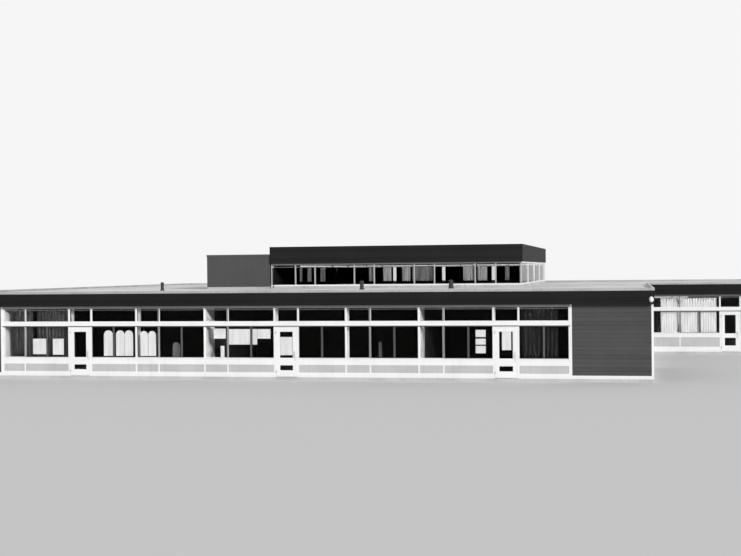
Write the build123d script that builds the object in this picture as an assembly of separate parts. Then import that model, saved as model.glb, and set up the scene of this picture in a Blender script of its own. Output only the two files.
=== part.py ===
from build123d import *
import os
from collections import namedtuple

# A single-storey system-built school on a planning grid. Millimetres, +Z up, the playground front
# faces -Y. Lengths in plan are counted in modules of the grid, from the grid line where the glazed
# front ends at its right-hand boarded bay.

# Planning grid
MODULE = 1016.0
BAY = 3
CORNER = 0.25

# Plan of the main block and of the wing that stands back at its right, in modules
GLAZED_BAYS = 8
MAIN_DEPTH = 32.25
CLASSROOM_BAYS = 3
BACK_WALL = 7.5
WING_SETBACK = 17.25
WING_BAYS = 2
WING_FIRST_WIDENING = 0.65

# Windows of the other walls: the grid line where a group starts, seen from outside, and its bays
REAR_GROUP_LINES = (-6, 12)
REAR_GROUP_BAYS = 4
LEFT_GROUP_LINE = -24
LEFT_GROUP_BAYS = 4
RIGHT_GROUP_BAYS = 3

# Raised hall and plant room, in modules
HALL_BAYS = 4
HALL_FRONT = 11.5
ROOMS_BEHIND_HALL = 2.25
HALL_SIDE_LIGHTS = 4
PLANT_WIDTH = 3.35
PLANT_DEPTH = 6.25

# Heights above the ground
SLAB = 125.0
DOOR_HEAD = 2200.0
EAVES = 3110.0
ROOF = 3650.0
KERB_HEIGHT = 100.0
HALL_CILL = 190.0
HALL_GLASS = 990.0
HALL_HEAD = 80.0
HALL_FASCIA = 860.0
PLANT_HEIGHT = 1720.0

# Heights of the members of a glazed wall, from the slab up
Bands = namedtuple("Bands", "base_rail panel cill_band")
FRONT_BANDS = Bands(200.0, 315.0, 290.0)
WING_BANDS = Bands(265.0, 490.0, 240.0)
DOOR_HEAD_RAIL = 70.0
TRANSOM = 180.0
HEAD_RAIL = 90.0

# Wall members
WALL = 100.0
MULLION = 60.0
PANE = 6.0
PANE_INSET = 45.0
SPANDREL = 40.0
SPANDREL_INSET = 15.0
BAR = 40.0
BAR_DEPTH = 50.0
BAR_INSET = 25.0
CILL_NOSING = 25.0
CILL_NOSING_HEIGHT = 32.0
CILL_FALL = 8.0
DRIP = 14.0
DRIP_HEIGHT = 18.0
POST = 90.0
BOARDING_BASE = 135.0
COLUMN = 100.0
COLUMN_INSET = 380.0

# Roof members: the roof overhangs the long sides, and its ends are flush with the walls
OVERHANG = 254.0
FASCIA = 30.0
KERB = 80.0
KERB_PROUD = 10.0
DECK = 140.0
CEILING = 25.0
HALL_OVERHANG = 60.0
HALL_FASCIA_BOARD = 40.0
HALL_UPSTAND = 30.0
HALL_MULLION = 60.0

# Doors: one leaf one module wide, hinged on its left jamb as seen from outside, opening outwards
LINING = 25.0
DOOR_GAP = 5.0
SILL_GAP = 8.0
LEAF = 44.0
DOOR_GLASS_WIDTH = 570.0
DoorRails = namedtuple("DoorRails", "bottom_rail lower_glass lock_rail top_rail")
FRONT_DOOR_RAILS = DoorRails(267.0, 230.0, 290.0, 165.0)
WING_DOOR_RAILS = DoorRails(307.0, 420.0, 210.0, 145.0)
HINGE_RADIUS = 7.5
HINGE_PIN = 4.0
PIN_CLEARANCE = 0.05
HINGE_PLATE = 3.0
HINGE_FLAP = 30.0
HINGE_LENGTH = 100.0
HINGE_SPLIT = 0.3
HINGE_FROM_END = 215.0
HANDLE_LEVEL = 1050.0
HANDLE_LENGTH = 250.0
HANDLE_STAND = 52.0
HANDLE_BAR = 8.0
HANDLE_WIDTH = 22.0
HANDLE_FOOT = 24.0

# Roof fittings: where each vent pipe stands on the grid, and its radius
Vent = namedtuple("Vent", "k j radius")
VENTS = (Vent(-19.5, 7.4, 75.0), Vent(-9.7, 6.9, 90.0), Vent(-5.75, 8.2, 105.0))
VENT_HEIGHT = 360.0
VENT_CAP_RIM = 30.0
VENT_CAP_HEIGHT = 50.0
LAMP_RADIUS = 95.0
LAMP_FRONT_RADIUS = 62.0
LAMP_DEPTH = 110.0
LAMP_UP_THE_FASCIA = 0.35
LAMP_FROM_END = 120.0

os.makedirs("parts", exist_ok=True)

# Grid lines that follow from the sizes above, in modules
GLAZED_LEFT = -GLAZED_BAYS * BAY
GLAZED_RIGHT = 0
CLASSROOM = CLASSROOM_BAYS * BAY
MAIN_LEFT = GLAZED_LEFT - BAY - CORNER
MAIN_RIGHT = GLAZED_RIGHT + BAY + CORNER
WING_GRID = MAIN_RIGHT + WING_FIRST_WIDENING
WING_BAYS_END = WING_GRID + WING_BAYS * BAY
WING_RIGHT = WING_BAYS_END + CORNER
HALL_LEFT = GLAZED_LEFT + CLASSROOM - CORNER
HALL_RIGHT = HALL_LEFT + HALL_BAYS * BAY + 2 * CORNER
HALL_REAR = MAIN_DEPTH - ROOMS_BEHIND_HALL

# Heights that follow from them
TRANSOM_BOTTOM = DOOR_HEAD + DOOR_HEAD_RAIL
TRANSOM_TOP = TRANSOM_BOTTOM + TRANSOM
HEAD_BOTTOM = EAVES - HEAD_RAIL
LAMP_LEVEL = EAVES + LAMP_UP_THE_FASCIA * (ROOF - EAVES)
HALL_GLASS_BOTTOM = ROOF + HALL_CILL
HALL_GLASS_TOP = HALL_GLASS_BOTTOM + HALL_GLASS
HALL_EAVES = HALL_GLASS_TOP + HALL_HEAD
HALL_TOP = HALL_EAVES + HALL_FASCIA

# The frame's origin is under the middle of the plan, on the ground
GRID_MIDDLE = (MAIN_LEFT + WING_RIGHT) / 2


def gx(k):
    """X of a grid position counted in modules."""
    return (k - GRID_MIDDLE) * MODULE


def gy(j):
    """Y of a grid position counted in modules back from the front."""
    return (j - MAIN_DEPTH / 2) * MODULE


def block(x0, x1, y0, y1, z0, z1):
    """A rectangular piece between two corners."""
    return Pos((x0 + x1) / 2, (y0 + y1) / 2, (z0 + z1) / 2) * Box(x1 - x0, y1 - y0, z1 - z0)


def rectangle(x0, z0, x1, z1):
    return Pos((x0 + x1) / 2, (z0 + z1) / 2) * Rectangle(x1 - x0, z1 - z0)


def upright(shape, inset, depth):
    """Stands a drawn elevation up as a panel, from inset behind the wall's face through depth."""
    return Rot(90, 0, 0) * Pos(0, 0, -inset - depth) * extrude(shape, depth)


def solids_of(pieces):
    found = []
    for piece in pieces:
        found.extend(piece.solids())
    return found


def save(name, pieces):
    """Writes one node from its pieces."""
    node = Compound(children=solids_of(pieces))
    node.label = name
    export_step(node, os.path.join("parts", name + ".step"))


# A wall is drawn with its outer face on y = 0, x to the right as seen from outside, and is then
# turned and moved to its place by one of these.
FRONT_PLACE = Pos(gx(0), gy(0), 0)
WING_PLACE = Pos(gx(0), gy(WING_SETBACK), 0)
REAR_PLACE = Pos(gx(0), gy(MAIN_DEPTH), 0) * Rot(0, 0, 180)
LEFT_PLACE = Pos(gx(MAIN_LEFT), gy(0), 0) * Rot(0, 0, -90)
RIGHT_PLACE = Pos(gx(MAIN_RIGHT), gy(0), 0) * Rot(0, 0, 90)
WING_END_PLACE = Pos(gx(WING_RIGHT), gy(0), 0) * Rot(0, 0, 90)


def bay_lights(start, door_bays=()):
    """A bay's lights: a single one, which may be a door, and a double one."""
    first = "door" if start in door_bays else "single"
    return [(start, start + 1, first), (start + 1, start + BAY, "double")]


def lights_between(start, end, door_bays=()):
    lights = []
    position = start
    while position + BAY <= end:
        lights += bay_lights(position, door_bays)
        position += BAY
    return lights


def runs_beside_doors(lights):
    """Groups of neighbouring lights with the doors taken out."""
    runs = [[]]
    for light in lights:
        if light[2] == "door":
            runs.append([])
        else:
            runs[-1].append(light)
    return [run for run in runs if run]


def opening(light, z0, z1):
    """The opening of one light between its mullions."""
    half = MULLION / 2
    return (light[0] * MODULE + half, z0, light[1] * MODULE - half, z1)


def base_top(bands):
    return SLAB + bands.base_rail


def panel_top(bands):
    return base_top(bands) + bands.panel


def cill_top(bands):
    return panel_top(bands) + bands.cill_band


def upper_frame(lights):
    """Transom, mullions and head over a run of lights, with the heads of its doors."""
    half = MULLION / 2
    x0 = lights[0][0] * MODULE - half
    x1 = lights[-1][1] * MODULE + half
    face = rectangle(x0, TRANSOM_BOTTOM, x1, EAVES)
    for light in lights:
        face -= rectangle(*opening(light, TRANSOM_TOP, HEAD_BOTTOM))
        if light[2] == "door":
            face += rectangle(*opening(light, DOOR_HEAD, TRANSOM_BOTTOM))
    return upright(face, 0, WALL) + transom_drip(lights)


def run_along(lights, outline):
    """A moulding along a run of lights from its outline, given as points (y, z)."""
    half = MULLION / 2
    start, end = lights[0][0] * MODULE - half, lights[-1][1] * MODULE + half
    across = Plane(origin=(start, 0, 0), x_dir=(0, 1, 0), z_dir=(1, 0, 0))
    return extrude(across * make_face(Polyline(*outline, close=True)), end - start)


def cill_nosing(lights, bands):
    """The weathered nose of the cill, which falls outwards."""
    top = cill_top(bands)
    nose = top - CILL_NOSING_HEIGHT
    return run_along(lights, ((0, nose), (0, top), (-CILL_NOSING, top - CILL_FALL), (-CILL_NOSING, nose)))


def transom_drip(lights):
    """The bead along the foot of the transom that throws the water clear of windows and doors."""
    z = TRANSOM_BOTTOM
    return run_along(lights, ((0, z), (0, z + DRIP_HEIGHT), (-DRIP, z + DRIP_HEIGHT / 2), (-DRIP, z)))


def lower_frame(run, bands, top=TRANSOM_BOTTOM):
    """Base rail, cill band and mullions of a run of lights, open at the top under the transom."""
    half = MULLION / 2
    face = rectangle(run[0][0] * MODULE - half, SLAB, run[-1][1] * MODULE + half, top)
    for light in run:
        face -= rectangle(*opening(light, base_top(bands), panel_top(bands)))
        face -= rectangle(*opening(light, cill_top(bands), top))
    return upright(face, 0, WALL) + cill_nosing(run, bands)


def whole_frame(lights, bands):
    """Frame of a wall without doors, from the slab to the eaves."""
    half = MULLION / 2
    face = rectangle(lights[0][0] * MODULE - half, SLAB, lights[-1][1] * MODULE + half, EAVES)
    for light in lights:
        face -= rectangle(*opening(light, base_top(bands), panel_top(bands)))
        face -= rectangle(*opening(light, cill_top(bands), TRANSOM_BOTTOM))
        face -= rectangle(*opening(light, TRANSOM_TOP, HEAD_BOTTOM))
    return upright(face, 0, WALL) + cill_nosing(lights, bands) + transom_drip(lights)


def spandrels(lights, bands):
    """Infill panels between base rail and cill band."""
    panels = []
    for light in lights:
        if light[2] != "door":
            shape = rectangle(*opening(light, base_top(bands), panel_top(bands)))
            panels.append(upright(shape, SPANDREL_INSET, SPANDREL))
    return panels


def light_middle(light):
    return (light[0] + light[1]) / 2 * MODULE


def casement_bars(lights, bands):
    """The slim bar that halves the lower half of each double light."""
    bars = []
    for light in lights:
        if light[2] == "double":
            x = light_middle(light)
            shape = rectangle(x - BAR / 2, cill_top(bands), x + BAR / 2, TRANSOM_BOTTOM)
            bars.append(upright(shape, BAR_INSET, BAR_DEPTH))
    return bars


def panes(lights, bands):
    """Glass of the transom lights and of the windows under them."""
    sheets = []
    for light in lights:
        sheets.append(rectangle(*opening(light, TRANSOM_TOP, HEAD_BOTTOM)))
        if light[2] == "door":
            continue
        x0, z0, x1, z1 = opening(light, cill_top(bands), TRANSOM_BOTTOM)
        if light[2] == "double":
            x = light_middle(light)
            sheets.append(rectangle(x0, z0, x - BAR / 2, z1))
            sheets.append(rectangle(x + BAR / 2, z0, x1, z1))
        else:
            sheets.append(rectangle(x0, z0, x1, z1))
    return [upright(sheet, PANE_INSET, PANE) for sheet in sheets]


def boarding(x0, x1, bottom):
    """A boarded stretch of wall, in modules, with its base rail left below it."""
    return upright(rectangle(x0, bottom, x1, EAVES), 0, WALL)


def placed(place, pieces):
    return [place * piece for piece in pieces]


# Lights of each wall, in modules along it
DOOR_BAYS = tuple(range(GLAZED_LEFT + BAY, GLAZED_RIGHT, CLASSROOM))
FRONT_LIGHTS = lights_between(GLAZED_LEFT, GLAZED_RIGHT, DOOR_BAYS)
WING_DOOR_BAY = WING_GRID + BAY


def wing_lights():
    """The wing's lights. The first one is wider and reaches the side wall of the main block."""
    lights = lights_between(WING_GRID, WING_BAYS_END, (WING_DOOR_BAY,))
    start = MAIN_RIGHT + MULLION / 2 / MODULE
    return [(start, lights[0][1], lights[0][2])] + lights[1:]


WING_LIGHTS = wing_lights()


def window_group(first, bays):
    return lights_between(first, first + bays * BAY)


REAR_GROUPS = [window_group(first, REAR_GROUP_BAYS) for first in REAR_GROUP_LINES]
LEFT_GROUPS = [window_group(LEFT_GROUP_LINE, LEFT_GROUP_BAYS)]
RIGHT_GROUPS = [window_group(WING_SETBACK - CORNER - RIGHT_GROUP_BAYS * BAY, RIGHT_GROUP_BAYS)]
WING_END_GROUPS = [window_group((WING_SETBACK + MAIN_DEPTH - BAY) / 2, 1)]
WALLS_WITHOUT_DOORS = (
    (REAR_PLACE, REAR_GROUPS),
    (LEFT_PLACE, LEFT_GROUPS),
    (RIGHT_PLACE, RIGHT_GROUPS),
    (WING_END_PLACE, WING_END_GROUPS),
)
WALLS_WITH_DOORS = ((FRONT_PLACE, FRONT_LIGHTS, FRONT_BANDS), (WING_PLACE, WING_LIGHTS, WING_BANDS))


def glazed_walls():
    uppers, lowers, wholes, panels, bars, glass = [], [], [], [], [], []
    for place, lights, bands in WALLS_WITH_DOORS:
        uppers += placed(place, [upper_frame(lights)])
        lowers += placed(place, [lower_frame(run, bands) for run in runs_beside_doors(lights)])
        panels += placed(place, spandrels(lights, bands))
        bars += placed(place, casement_bars(lights, bands))
        glass += placed(place, panes(lights, bands))
    for place, groups in WALLS_WITHOUT_DOORS:
        for lights in groups:
            wholes += placed(place, [whole_frame(lights, FRONT_BANDS)])
            panels += placed(place, spandrels(lights, FRONT_BANDS))
            bars += placed(place, casement_bars(lights, FRONT_BANDS))
            glass += placed(place, panes(lights, FRONT_BANDS))
    save("upper_frames", uppers)
    save("lower_frames", lowers)
    save("side_frames", wholes)
    save("spandrel_panels", panels)
    save("casement_bars", bars)
    save("window_glass", glass)


def boarded_stretches():
    """Each boarded stretch as (place, start, end) along its wall, in millimetres."""
    half = MULLION / 2
    stretches = [
        (FRONT_PLACE, MAIN_LEFT * MODULE + POST, GLAZED_LEFT * MODULE - half),
        (FRONT_PLACE, GLAZED_RIGHT * MODULE + half, MAIN_RIGHT * MODULE - POST),
        (WING_PLACE, WING_BAYS_END * MODULE + half, WING_RIGHT * MODULE - POST),
    ]
    walls = (
        (REAR_PLACE, REAR_GROUPS, -WING_RIGHT, -MAIN_LEFT),
        (LEFT_PLACE, LEFT_GROUPS, -MAIN_DEPTH, 0),
        (RIGHT_PLACE, RIGHT_GROUPS, 0, WING_SETBACK),
        (WING_END_PLACE, WING_END_GROUPS, WING_SETBACK, MAIN_DEPTH),
    )
    for place, groups, start, end in walls:
        position = start * MODULE + POST
        for lights in groups:
            stretches.append((place, position, lights[0][0] * MODULE - half))
            position = lights[-1][1] * MODULE + half
        last = end * MODULE + WALL if place is RIGHT_PLACE else end * MODULE - POST
        stretches.append((place, position, last))
    return stretches


def boarded_walls():
    walls, rails = [], []
    for place, start, end in boarded_stretches():
        walls.append(place * boarding(start, end, SLAB + BOARDING_BASE))
        rails.append(place * upright(rectangle(start, SLAB, end, SLAB + BOARDING_BASE), 0, WALL))
    save("boarded_walls", walls)
    save("boarding_base_rails", rails)
    corners = (
        (gx(MAIN_LEFT), gy(0), 1, 1),
        (gx(MAIN_RIGHT), gy(0), -1, 1),
        (gx(MAIN_LEFT), gy(MAIN_DEPTH), 1, -1),
        (gx(WING_RIGHT), gy(MAIN_DEPTH), -1, -1),
        (gx(WING_RIGHT), gy(WING_SETBACK), -1, 1),
    )
    posts = []
    for x, y, inward_x, inward_y in corners:
        middle = Pos(x + inward_x * POST / 2, y + inward_y * POST / 2, (SLAB + EAVES) / 2)
        posts.append(middle * Box(POST, POST, EAVES - SLAB))
    save("corner_posts", posts)


def floor_slab():
    outline = Polyline(
        (gx(MAIN_LEFT), gy(0)),
        (gx(MAIN_RIGHT), gy(0)),
        (gx(MAIN_RIGHT), gy(WING_SETBACK)),
        (gx(WING_RIGHT), gy(WING_SETBACK)),
        (gx(WING_RIGHT), gy(MAIN_DEPTH)),
        (gx(MAIN_LEFT), gy(MAIN_DEPTH)),
        close=True,
    )
    save("floor_slab", [extrude(make_face(outline), SLAB)])


def partitions():
    """Back wall of the classrooms and the walls between them."""
    y0 = gy(BACK_WALL)
    back = block(gx(MAIN_LEFT) + WALL, gx(MAIN_RIGHT) - WALL, y0, y0 + WALL, SLAB, EAVES)
    save("classroom_back_wall", [back])
    walls = []
    for line in range(GLAZED_LEFT, GLAZED_RIGHT, CLASSROOM):
        x = gx(line)
        walls.append(block(x - WALL / 2, x + WALL / 2, gy(0) + WALL, y0, SLAB, EAVES))
    save("cross_walls", walls)


def steel_columns():
    """Columns behind the front and under the edge of the hall."""
    columns = []
    for n in range(GLAZED_LEFT + BAY, GLAZED_RIGHT, BAY):
        if (n - GLAZED_LEFT) % CLASSROOM:
            y = gy(0) + COLUMN_INSET
            columns.append(block(gx(n) - COLUMN / 2, gx(n) + COLUMN / 2, y, y + COLUMN, SLAB, EAVES))
    rows = (gy(HALL_FRONT), gy(HALL_REAR) - COLUMN)
    middle = (HALL_LEFT + HALL_RIGHT) / 2
    for y in rows:
        for x in (gx(HALL_LEFT), gx(middle) - COLUMN / 2, gx(HALL_RIGHT) - COLUMN):
            columns.append(block(x, x + COLUMN, y, y + COLUMN, SLAB, EAVES))
    save("steel_columns", columns)


def roof_plate(x0, x1, y0, y1):
    """Ceiling and deck of one stretch of roof."""
    ceiling = block(x0, x1, y0, y1, EAVES, EAVES + CEILING)
    deck = block(x0, x1, y0, y1, ROOF - DECK, ROOF)
    return [ceiling, deck]


def roofs():
    inner = OVERHANG - FASCIA
    left, right = gx(MAIN_LEFT), gx(MAIN_RIGHT)
    front, rear = gy(0) - inner, gy(MAIN_DEPTH) + inner
    hall_front, hall_rear = gy(HALL_FRONT), gy(HALL_REAR)
    front_plate = roof_plate(left, right, front, hall_front)
    rear_plate = roof_plate(left, right, hall_rear, rear)
    save("roof_front_rear", front_plate + rear_plate)
    left_plate = roof_plate(left, gx(HALL_LEFT), hall_front, hall_rear)
    right_plate = roof_plate(gx(HALL_RIGHT), right, hall_front, hall_rear)
    save("roof_left_right", left_plate + right_plate)
    save("roof_wing", roof_plate(right, gx(WING_RIGHT), gy(WING_SETBACK) - inner, rear))


def hall_beams():
    """Beams under the edge of the roof around the hall."""
    x0, x1 = gx(HALL_LEFT), gx(HALL_RIGHT)
    y0, y1 = gy(HALL_FRONT), gy(HALL_REAR)
    front = block(x0, x1, y0, y0 + WALL, EAVES, ROOF)
    rear = block(x0, x1, y1 - WALL, y1, EAVES, ROOF)
    save("hall_beams_long", [front, rear])
    left = block(x0, x0 + WALL, y0 + WALL, y1 - WALL, EAVES, ROOF)
    right = block(x1 - WALL, x1, y0 + WALL, y1 - WALL, EAVES, ROOF)
    save("hall_beams_side", [left, right])


def edge_boards(thickness, proud, z0, z1, long_name, end_name):
    """Boards all round the low roof, of one thickness, their outer face proud of the fascia."""
    reach, end_reach = OVERHANG + proud, FASCIA + proud
    left, right = gx(MAIN_LEFT) - end_reach, gx(MAIN_RIGHT) + end_reach
    front, rear = gy(0) - reach, gy(MAIN_DEPTH) + reach
    wing_right, wing_front = gx(WING_RIGHT) + end_reach, gy(WING_SETBACK) - reach
    long_boards = [
        block(left, right, front, front + thickness, z0, z1),
        block(left, wing_right, rear - thickness, rear, z0, z1),
        block(right, wing_right, wing_front, wing_front + thickness, z0, z1),
    ]
    save(long_name, long_boards)
    end_boards = [
        block(left, left + thickness, front + thickness, rear - thickness, z0, z1),
        block(right - thickness, right, front + thickness, wing_front + thickness, z0, z1),
        block(wing_right - thickness, wing_right, wing_front + thickness, rear - thickness, z0, z1),
    ]
    save(end_name, end_boards)


def hall_frame(width, edges):
    """One side of the hall's clerestory, drawn from x = 0, with mullions centred on the edges."""
    face = rectangle(0, ROOF, width, HALL_EAVES)
    half = HALL_MULLION / 2
    lines = [half] + edges + [width - half]
    holes = [(a + half, HALL_GLASS_BOTTOM, b - half, HALL_GLASS_TOP) for a, b in zip(lines, lines[1:])]
    for hole in holes:
        face -= rectangle(*hole)
    glass = [upright(rectangle(*hole), PANE_INSET, PANE) for hole in holes]
    return upright(face, 0, WALL), glass


def hall():
    width = (HALL_RIGHT - HALL_LEFT) * MODULE
    side_width = (HALL_REAR - HALL_FRONT) * MODULE - 2 * WALL
    edges = []
    for bay in range(HALL_BAYS):
        start = 1 + CORNER + bay * BAY
        edges += [start * MODULE, (start + 1) * MODULE]
    side_edges = [n * side_width / HALL_SIDE_LIGHTS for n in range(1, HALL_SIDE_LIGHTS)]
    x0, x1 = gx(HALL_LEFT), gx(HALL_RIGHT)
    y0, y1 = gy(HALL_FRONT), gy(HALL_REAR)
    long_frame, long_glass = hall_frame(width, edges)
    side_frame, side_glass = hall_frame(side_width, side_edges)
    front_place = Pos(x0, y0, 0)
    rear_place = Pos(x1, y1, 0) * Rot(0, 0, 180)
    right_place = Pos(x1, y0 + WALL, 0) * Rot(0, 0, 90)
    left_place = Pos(x0, y1 - WALL, 0) * Rot(0, 0, -90)
    save("hall_frames_long", [front_place * long_frame, rear_place * long_frame])
    save("hall_frames_side", [right_place * side_frame, left_place * side_frame])
    glass = placed(front_place, long_glass) + placed(rear_place, long_glass)
    glass += placed(right_place, side_glass) + placed(left_place, side_glass)
    save("hall_glass", glass)

    z0, z1 = HALL_EAVES, HALL_TOP
    out, board = HALL_OVERHANG, HALL_FASCIA_BOARD
    long_boards = [
        block(x0 - out, x1 + out, y0 - out, y0 - out + board, z0, z1),
        block(x0 - out, x1 + out, y1 + out - board, y1 + out, z0, z1),
    ]
    save("hall_fascia_long", long_boards)
    end_boards = [
        block(x0 - out, x0 - out + board, y0 - out + board, y1 + out - board, z0, z1),
        block(x1 + out - board, x1 + out, y0 - out + board, y1 + out - board, z0, z1),
    ]
    save("hall_fascia_ends", end_boards)
    inner = out - board
    sides = (x0 - inner, x1 + inner, y0 - inner, y1 + inner)
    ceiling = block(*sides, z0, z0 + CEILING)
    deck = block(*sides, z1 - HALL_UPSTAND - DECK, z1 - HALL_UPSTAND)
    save("hall_roof", [ceiling, deck])


def plant_room():
    """The plain boarded box beside the hall: walls and a flat roof over them."""
    x1 = gx(HALL_LEFT) - HALL_OVERHANG
    x0 = gx(HALL_LEFT - PLANT_WIDTH)
    y0 = gy(HALL_FRONT)
    y1 = gy(HALL_FRONT + PLANT_DEPTH)
    outside = block(x0, x1, y0, y1, ROOF, ROOF + PLANT_HEIGHT)
    inside = block(x0 + WALL, x1 - WALL, y0 + WALL, y1 - WALL, ROOF, ROOF + PLANT_HEIGHT - WALL)
    save("plant_room", [outside - inside])


def door_openings(bottom, top, rails):
    """The two glazed openings of a leaf, stacked between its rails."""
    half = DOOR_GLASS_WIDTH / 2
    lower = bottom + rails.bottom_rail
    lower_top = lower + rails.lower_glass
    return [(-half, lower, half, lower_top), (-half, lower_top + rails.lock_rail, half, top - rails.top_rail)]


def hinge(x, z, carries_pin):
    """One half of a lift-off hinge at the jamb line x: the lower half has the pin."""
    half = HINGE_LENGTH / 2
    sign = -1 if carries_pin else 1
    axis_y = -HINGE_RADIUS - HINGE_PLATE / 2
    length = half - HINGE_SPLIT
    reach = sign * (DOOR_GAP + HINGE_FLAP)
    outline = Pos(x, axis_y) * Circle(HINGE_RADIUS) + Pos(x + reach / 2, -HINGE_PLATE / 2) * Rectangle(
        abs(reach), HINGE_PLATE
    )
    bottom = z - half if carries_pin else z + HINGE_SPLIT
    body = Pos(0, 0, bottom) * extrude(outline, length)
    if carries_pin:
        return body + Pos(x, axis_y, z) * Cylinder(HINGE_PIN, half)
    return body - Pos(x, axis_y, z) * Cylinder(HINGE_PIN + PIN_CLEARANCE, HINGE_LENGTH)


def handle(x, face_y, outward):
    """A pull handle of flat bar on one face of the leaf: a grip, two legs and a foot at each end."""
    half, bar = HANDLE_LENGTH / 2, HANDLE_BAR
    outline = rectangle(0, -half, HANDLE_STAND, half)
    outline -= rectangle(0, -half + bar, HANDLE_STAND - bar, half - bar)
    outline += rectangle(0, half, bar, half + HANDLE_FOOT)
    outline += rectangle(0, -half - HANDLE_FOOT, bar, -half)
    origin = (x - outward * HANDLE_WIDTH / 2, face_y, HANDLE_LEVEL)
    side_view = Plane(origin=origin, x_dir=(0, outward, 0), z_dir=(outward, 0, 0))
    return extrude(side_view * outline, HANDLE_WIDTH)


def door(name, place, light, rails):
    """Leaf, glass and furniture of one door. Its jamb linings and hinge pins are returned."""
    clear = MODULE - MULLION
    middle = light_middle(light)
    leaf_width = clear - 2 * LINING - 2 * DOOR_GAP
    half = leaf_width / 2
    bottom, top = SLAB + SILL_GAP, DOOR_HEAD - DOOR_GAP
    holes = door_openings(bottom, top, rails)
    face = rectangle(-half, bottom, half, top)
    for hole in holes:
        face -= rectangle(*hole)
    here = place * Pos(middle, 0, 0)
    save("door_" + name + "_leaf", [here * upright(face, 0, LEAF)])
    inset = (LEAF - PANE) / 2
    save("door_" + name + "_glass", [here * upright(rectangle(*hole), inset, PANE) for hole in holes])
    hinge_x = -half - DOOR_GAP / 2
    hinge_levels = (bottom + HINGE_FROM_END, top - HINGE_FROM_END)
    furniture = [hinge(hinge_x, z, False) for z in hinge_levels]
    handle_x = (half + DOOR_GLASS_WIDTH / 2) / 2
    furniture.append(handle(handle_x, 0, -1))
    furniture.append(handle(handle_x, LEAF, 1))
    save("door_" + name + "_furniture", placed(here, furniture))
    pins = placed(here, [hinge(hinge_x, z, True) for z in hinge_levels])
    edge = clear / 2
    linings = [
        upright(rectangle(-edge, SLAB, -edge + LINING, DOOR_HEAD), 0, WALL),
        upright(rectangle(edge - LINING, SLAB, edge, DOOR_HEAD), 0, WALL),
    ]
    return placed(here, linings), pins


def doors():
    linings, pins = [], []
    all_doors = [
        (name, FRONT_PLACE, start, FRONT_DOOR_RAILS)
        for name, start in zip(("left", "middle", "right"), DOOR_BAYS)
    ]
    all_doors.append(("wing", WING_PLACE, WING_DOOR_BAY, WING_DOOR_RAILS))
    for name, place, start, rails in all_doors:
        door_linings, door_pins = door(name, place, (start, start + 1, "door"), rails)
        linings += door_linings
        pins += door_pins
    save("door_linings", linings)
    save("hinge_pins", pins)


def roof_fittings():
    vents = []
    for vent in VENTS:
        foot = Pos(gx(vent.k), gy(vent.j), ROOF)
        pipe = Pos(0, 0, VENT_HEIGHT / 2) * Cylinder(vent.radius, VENT_HEIGHT)
        cap_place = Pos(0, 0, VENT_HEIGHT + VENT_CAP_HEIGHT / 2)
        cap = cap_place * Cone(vent.radius + VENT_CAP_RIM, vent.radius / 2, VENT_CAP_HEIGHT)
        vents.append(foot * (pipe + cap))
    save("vent_pipes", vents)
    x = gx(MAIN_RIGHT) + FASCIA - LAMP_FROM_END
    y = gy(0) - OVERHANG - LAMP_DEPTH / 2
    bowl = Pos(x, y, LAMP_LEVEL) * Rot(90, 0, 0) * Cone(LAMP_RADIUS, LAMP_FRONT_RADIUS, LAMP_DEPTH)
    save("corner_lamp", [bowl])


floor_slab()
glazed_walls()
boarded_walls()
doors()
partitions()
steel_columns()
roofs()
hall_beams()
edge_boards(FASCIA, 0, EAVES, ROOF, "fascia_long", "fascia_ends")
edge_boards(KERB, KERB_PROUD, ROOF, ROOF + KERB_HEIGHT, "kerb_long", "kerb_ends")
hall()
plant_room()
roof_fittings()
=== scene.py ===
# %% [markdown]
# # A system-built school, dressed for a studio picture
# The building stands on a planning grid of 1.016 m. Its walls are timber frames with glass, painted
# panels and dark boarding, and a raised hall looks over the flat roof. The solids come from the packed
# model and are already in place, so every piece here is set out from them, in metres, with no fitting.

# %% Load the frame
import math

import bmesh
import bpy
from mathutils import Matrix, Vector


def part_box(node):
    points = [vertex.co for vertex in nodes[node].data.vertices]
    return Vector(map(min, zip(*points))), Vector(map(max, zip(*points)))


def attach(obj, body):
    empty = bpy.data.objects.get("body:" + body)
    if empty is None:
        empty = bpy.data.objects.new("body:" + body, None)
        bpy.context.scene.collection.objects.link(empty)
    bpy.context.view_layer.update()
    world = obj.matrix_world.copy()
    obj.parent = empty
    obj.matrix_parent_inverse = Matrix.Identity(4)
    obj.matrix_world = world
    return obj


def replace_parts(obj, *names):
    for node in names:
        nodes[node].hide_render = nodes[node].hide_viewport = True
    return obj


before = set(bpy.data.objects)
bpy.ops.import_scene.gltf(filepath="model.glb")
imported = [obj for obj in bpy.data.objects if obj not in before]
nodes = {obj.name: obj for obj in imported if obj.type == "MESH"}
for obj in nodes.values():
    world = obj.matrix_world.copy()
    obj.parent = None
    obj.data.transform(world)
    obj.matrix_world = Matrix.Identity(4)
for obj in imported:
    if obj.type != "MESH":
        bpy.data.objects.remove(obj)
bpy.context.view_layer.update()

# %% [markdown]
# ## The planning grid
# Everything on such a building repeats on one module, so one pair of functions turns a count of
# modules into metres. The slab's edges are known grid lines, which gives the module without typing it
# again. Counts run from the line where the glazed front meets its right-hand boarded bay.

# %% Grid lines
BAY = 3
MAIN_LEFT, MAIN_RIGHT, WING_RIGHT = -27.25, 3.25, 10.15
WING_SETBACK = 17.25
HALL_LEFT, HALL_RIGHT, HALL_FRONT, HALL_BACK = -15.25, -2.75, 11.5, 30.0
slab_low, slab_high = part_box("floor_slab")
MODULE = (slab_high.x - slab_low.x) / (WING_RIGHT - MAIN_LEFT)
DEPTH = (slab_high.y - slab_low.y) / MODULE
SLAB_TOP = slab_high.z


def grid(k):
    """A count of modules in metres."""
    return k * MODULE


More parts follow.
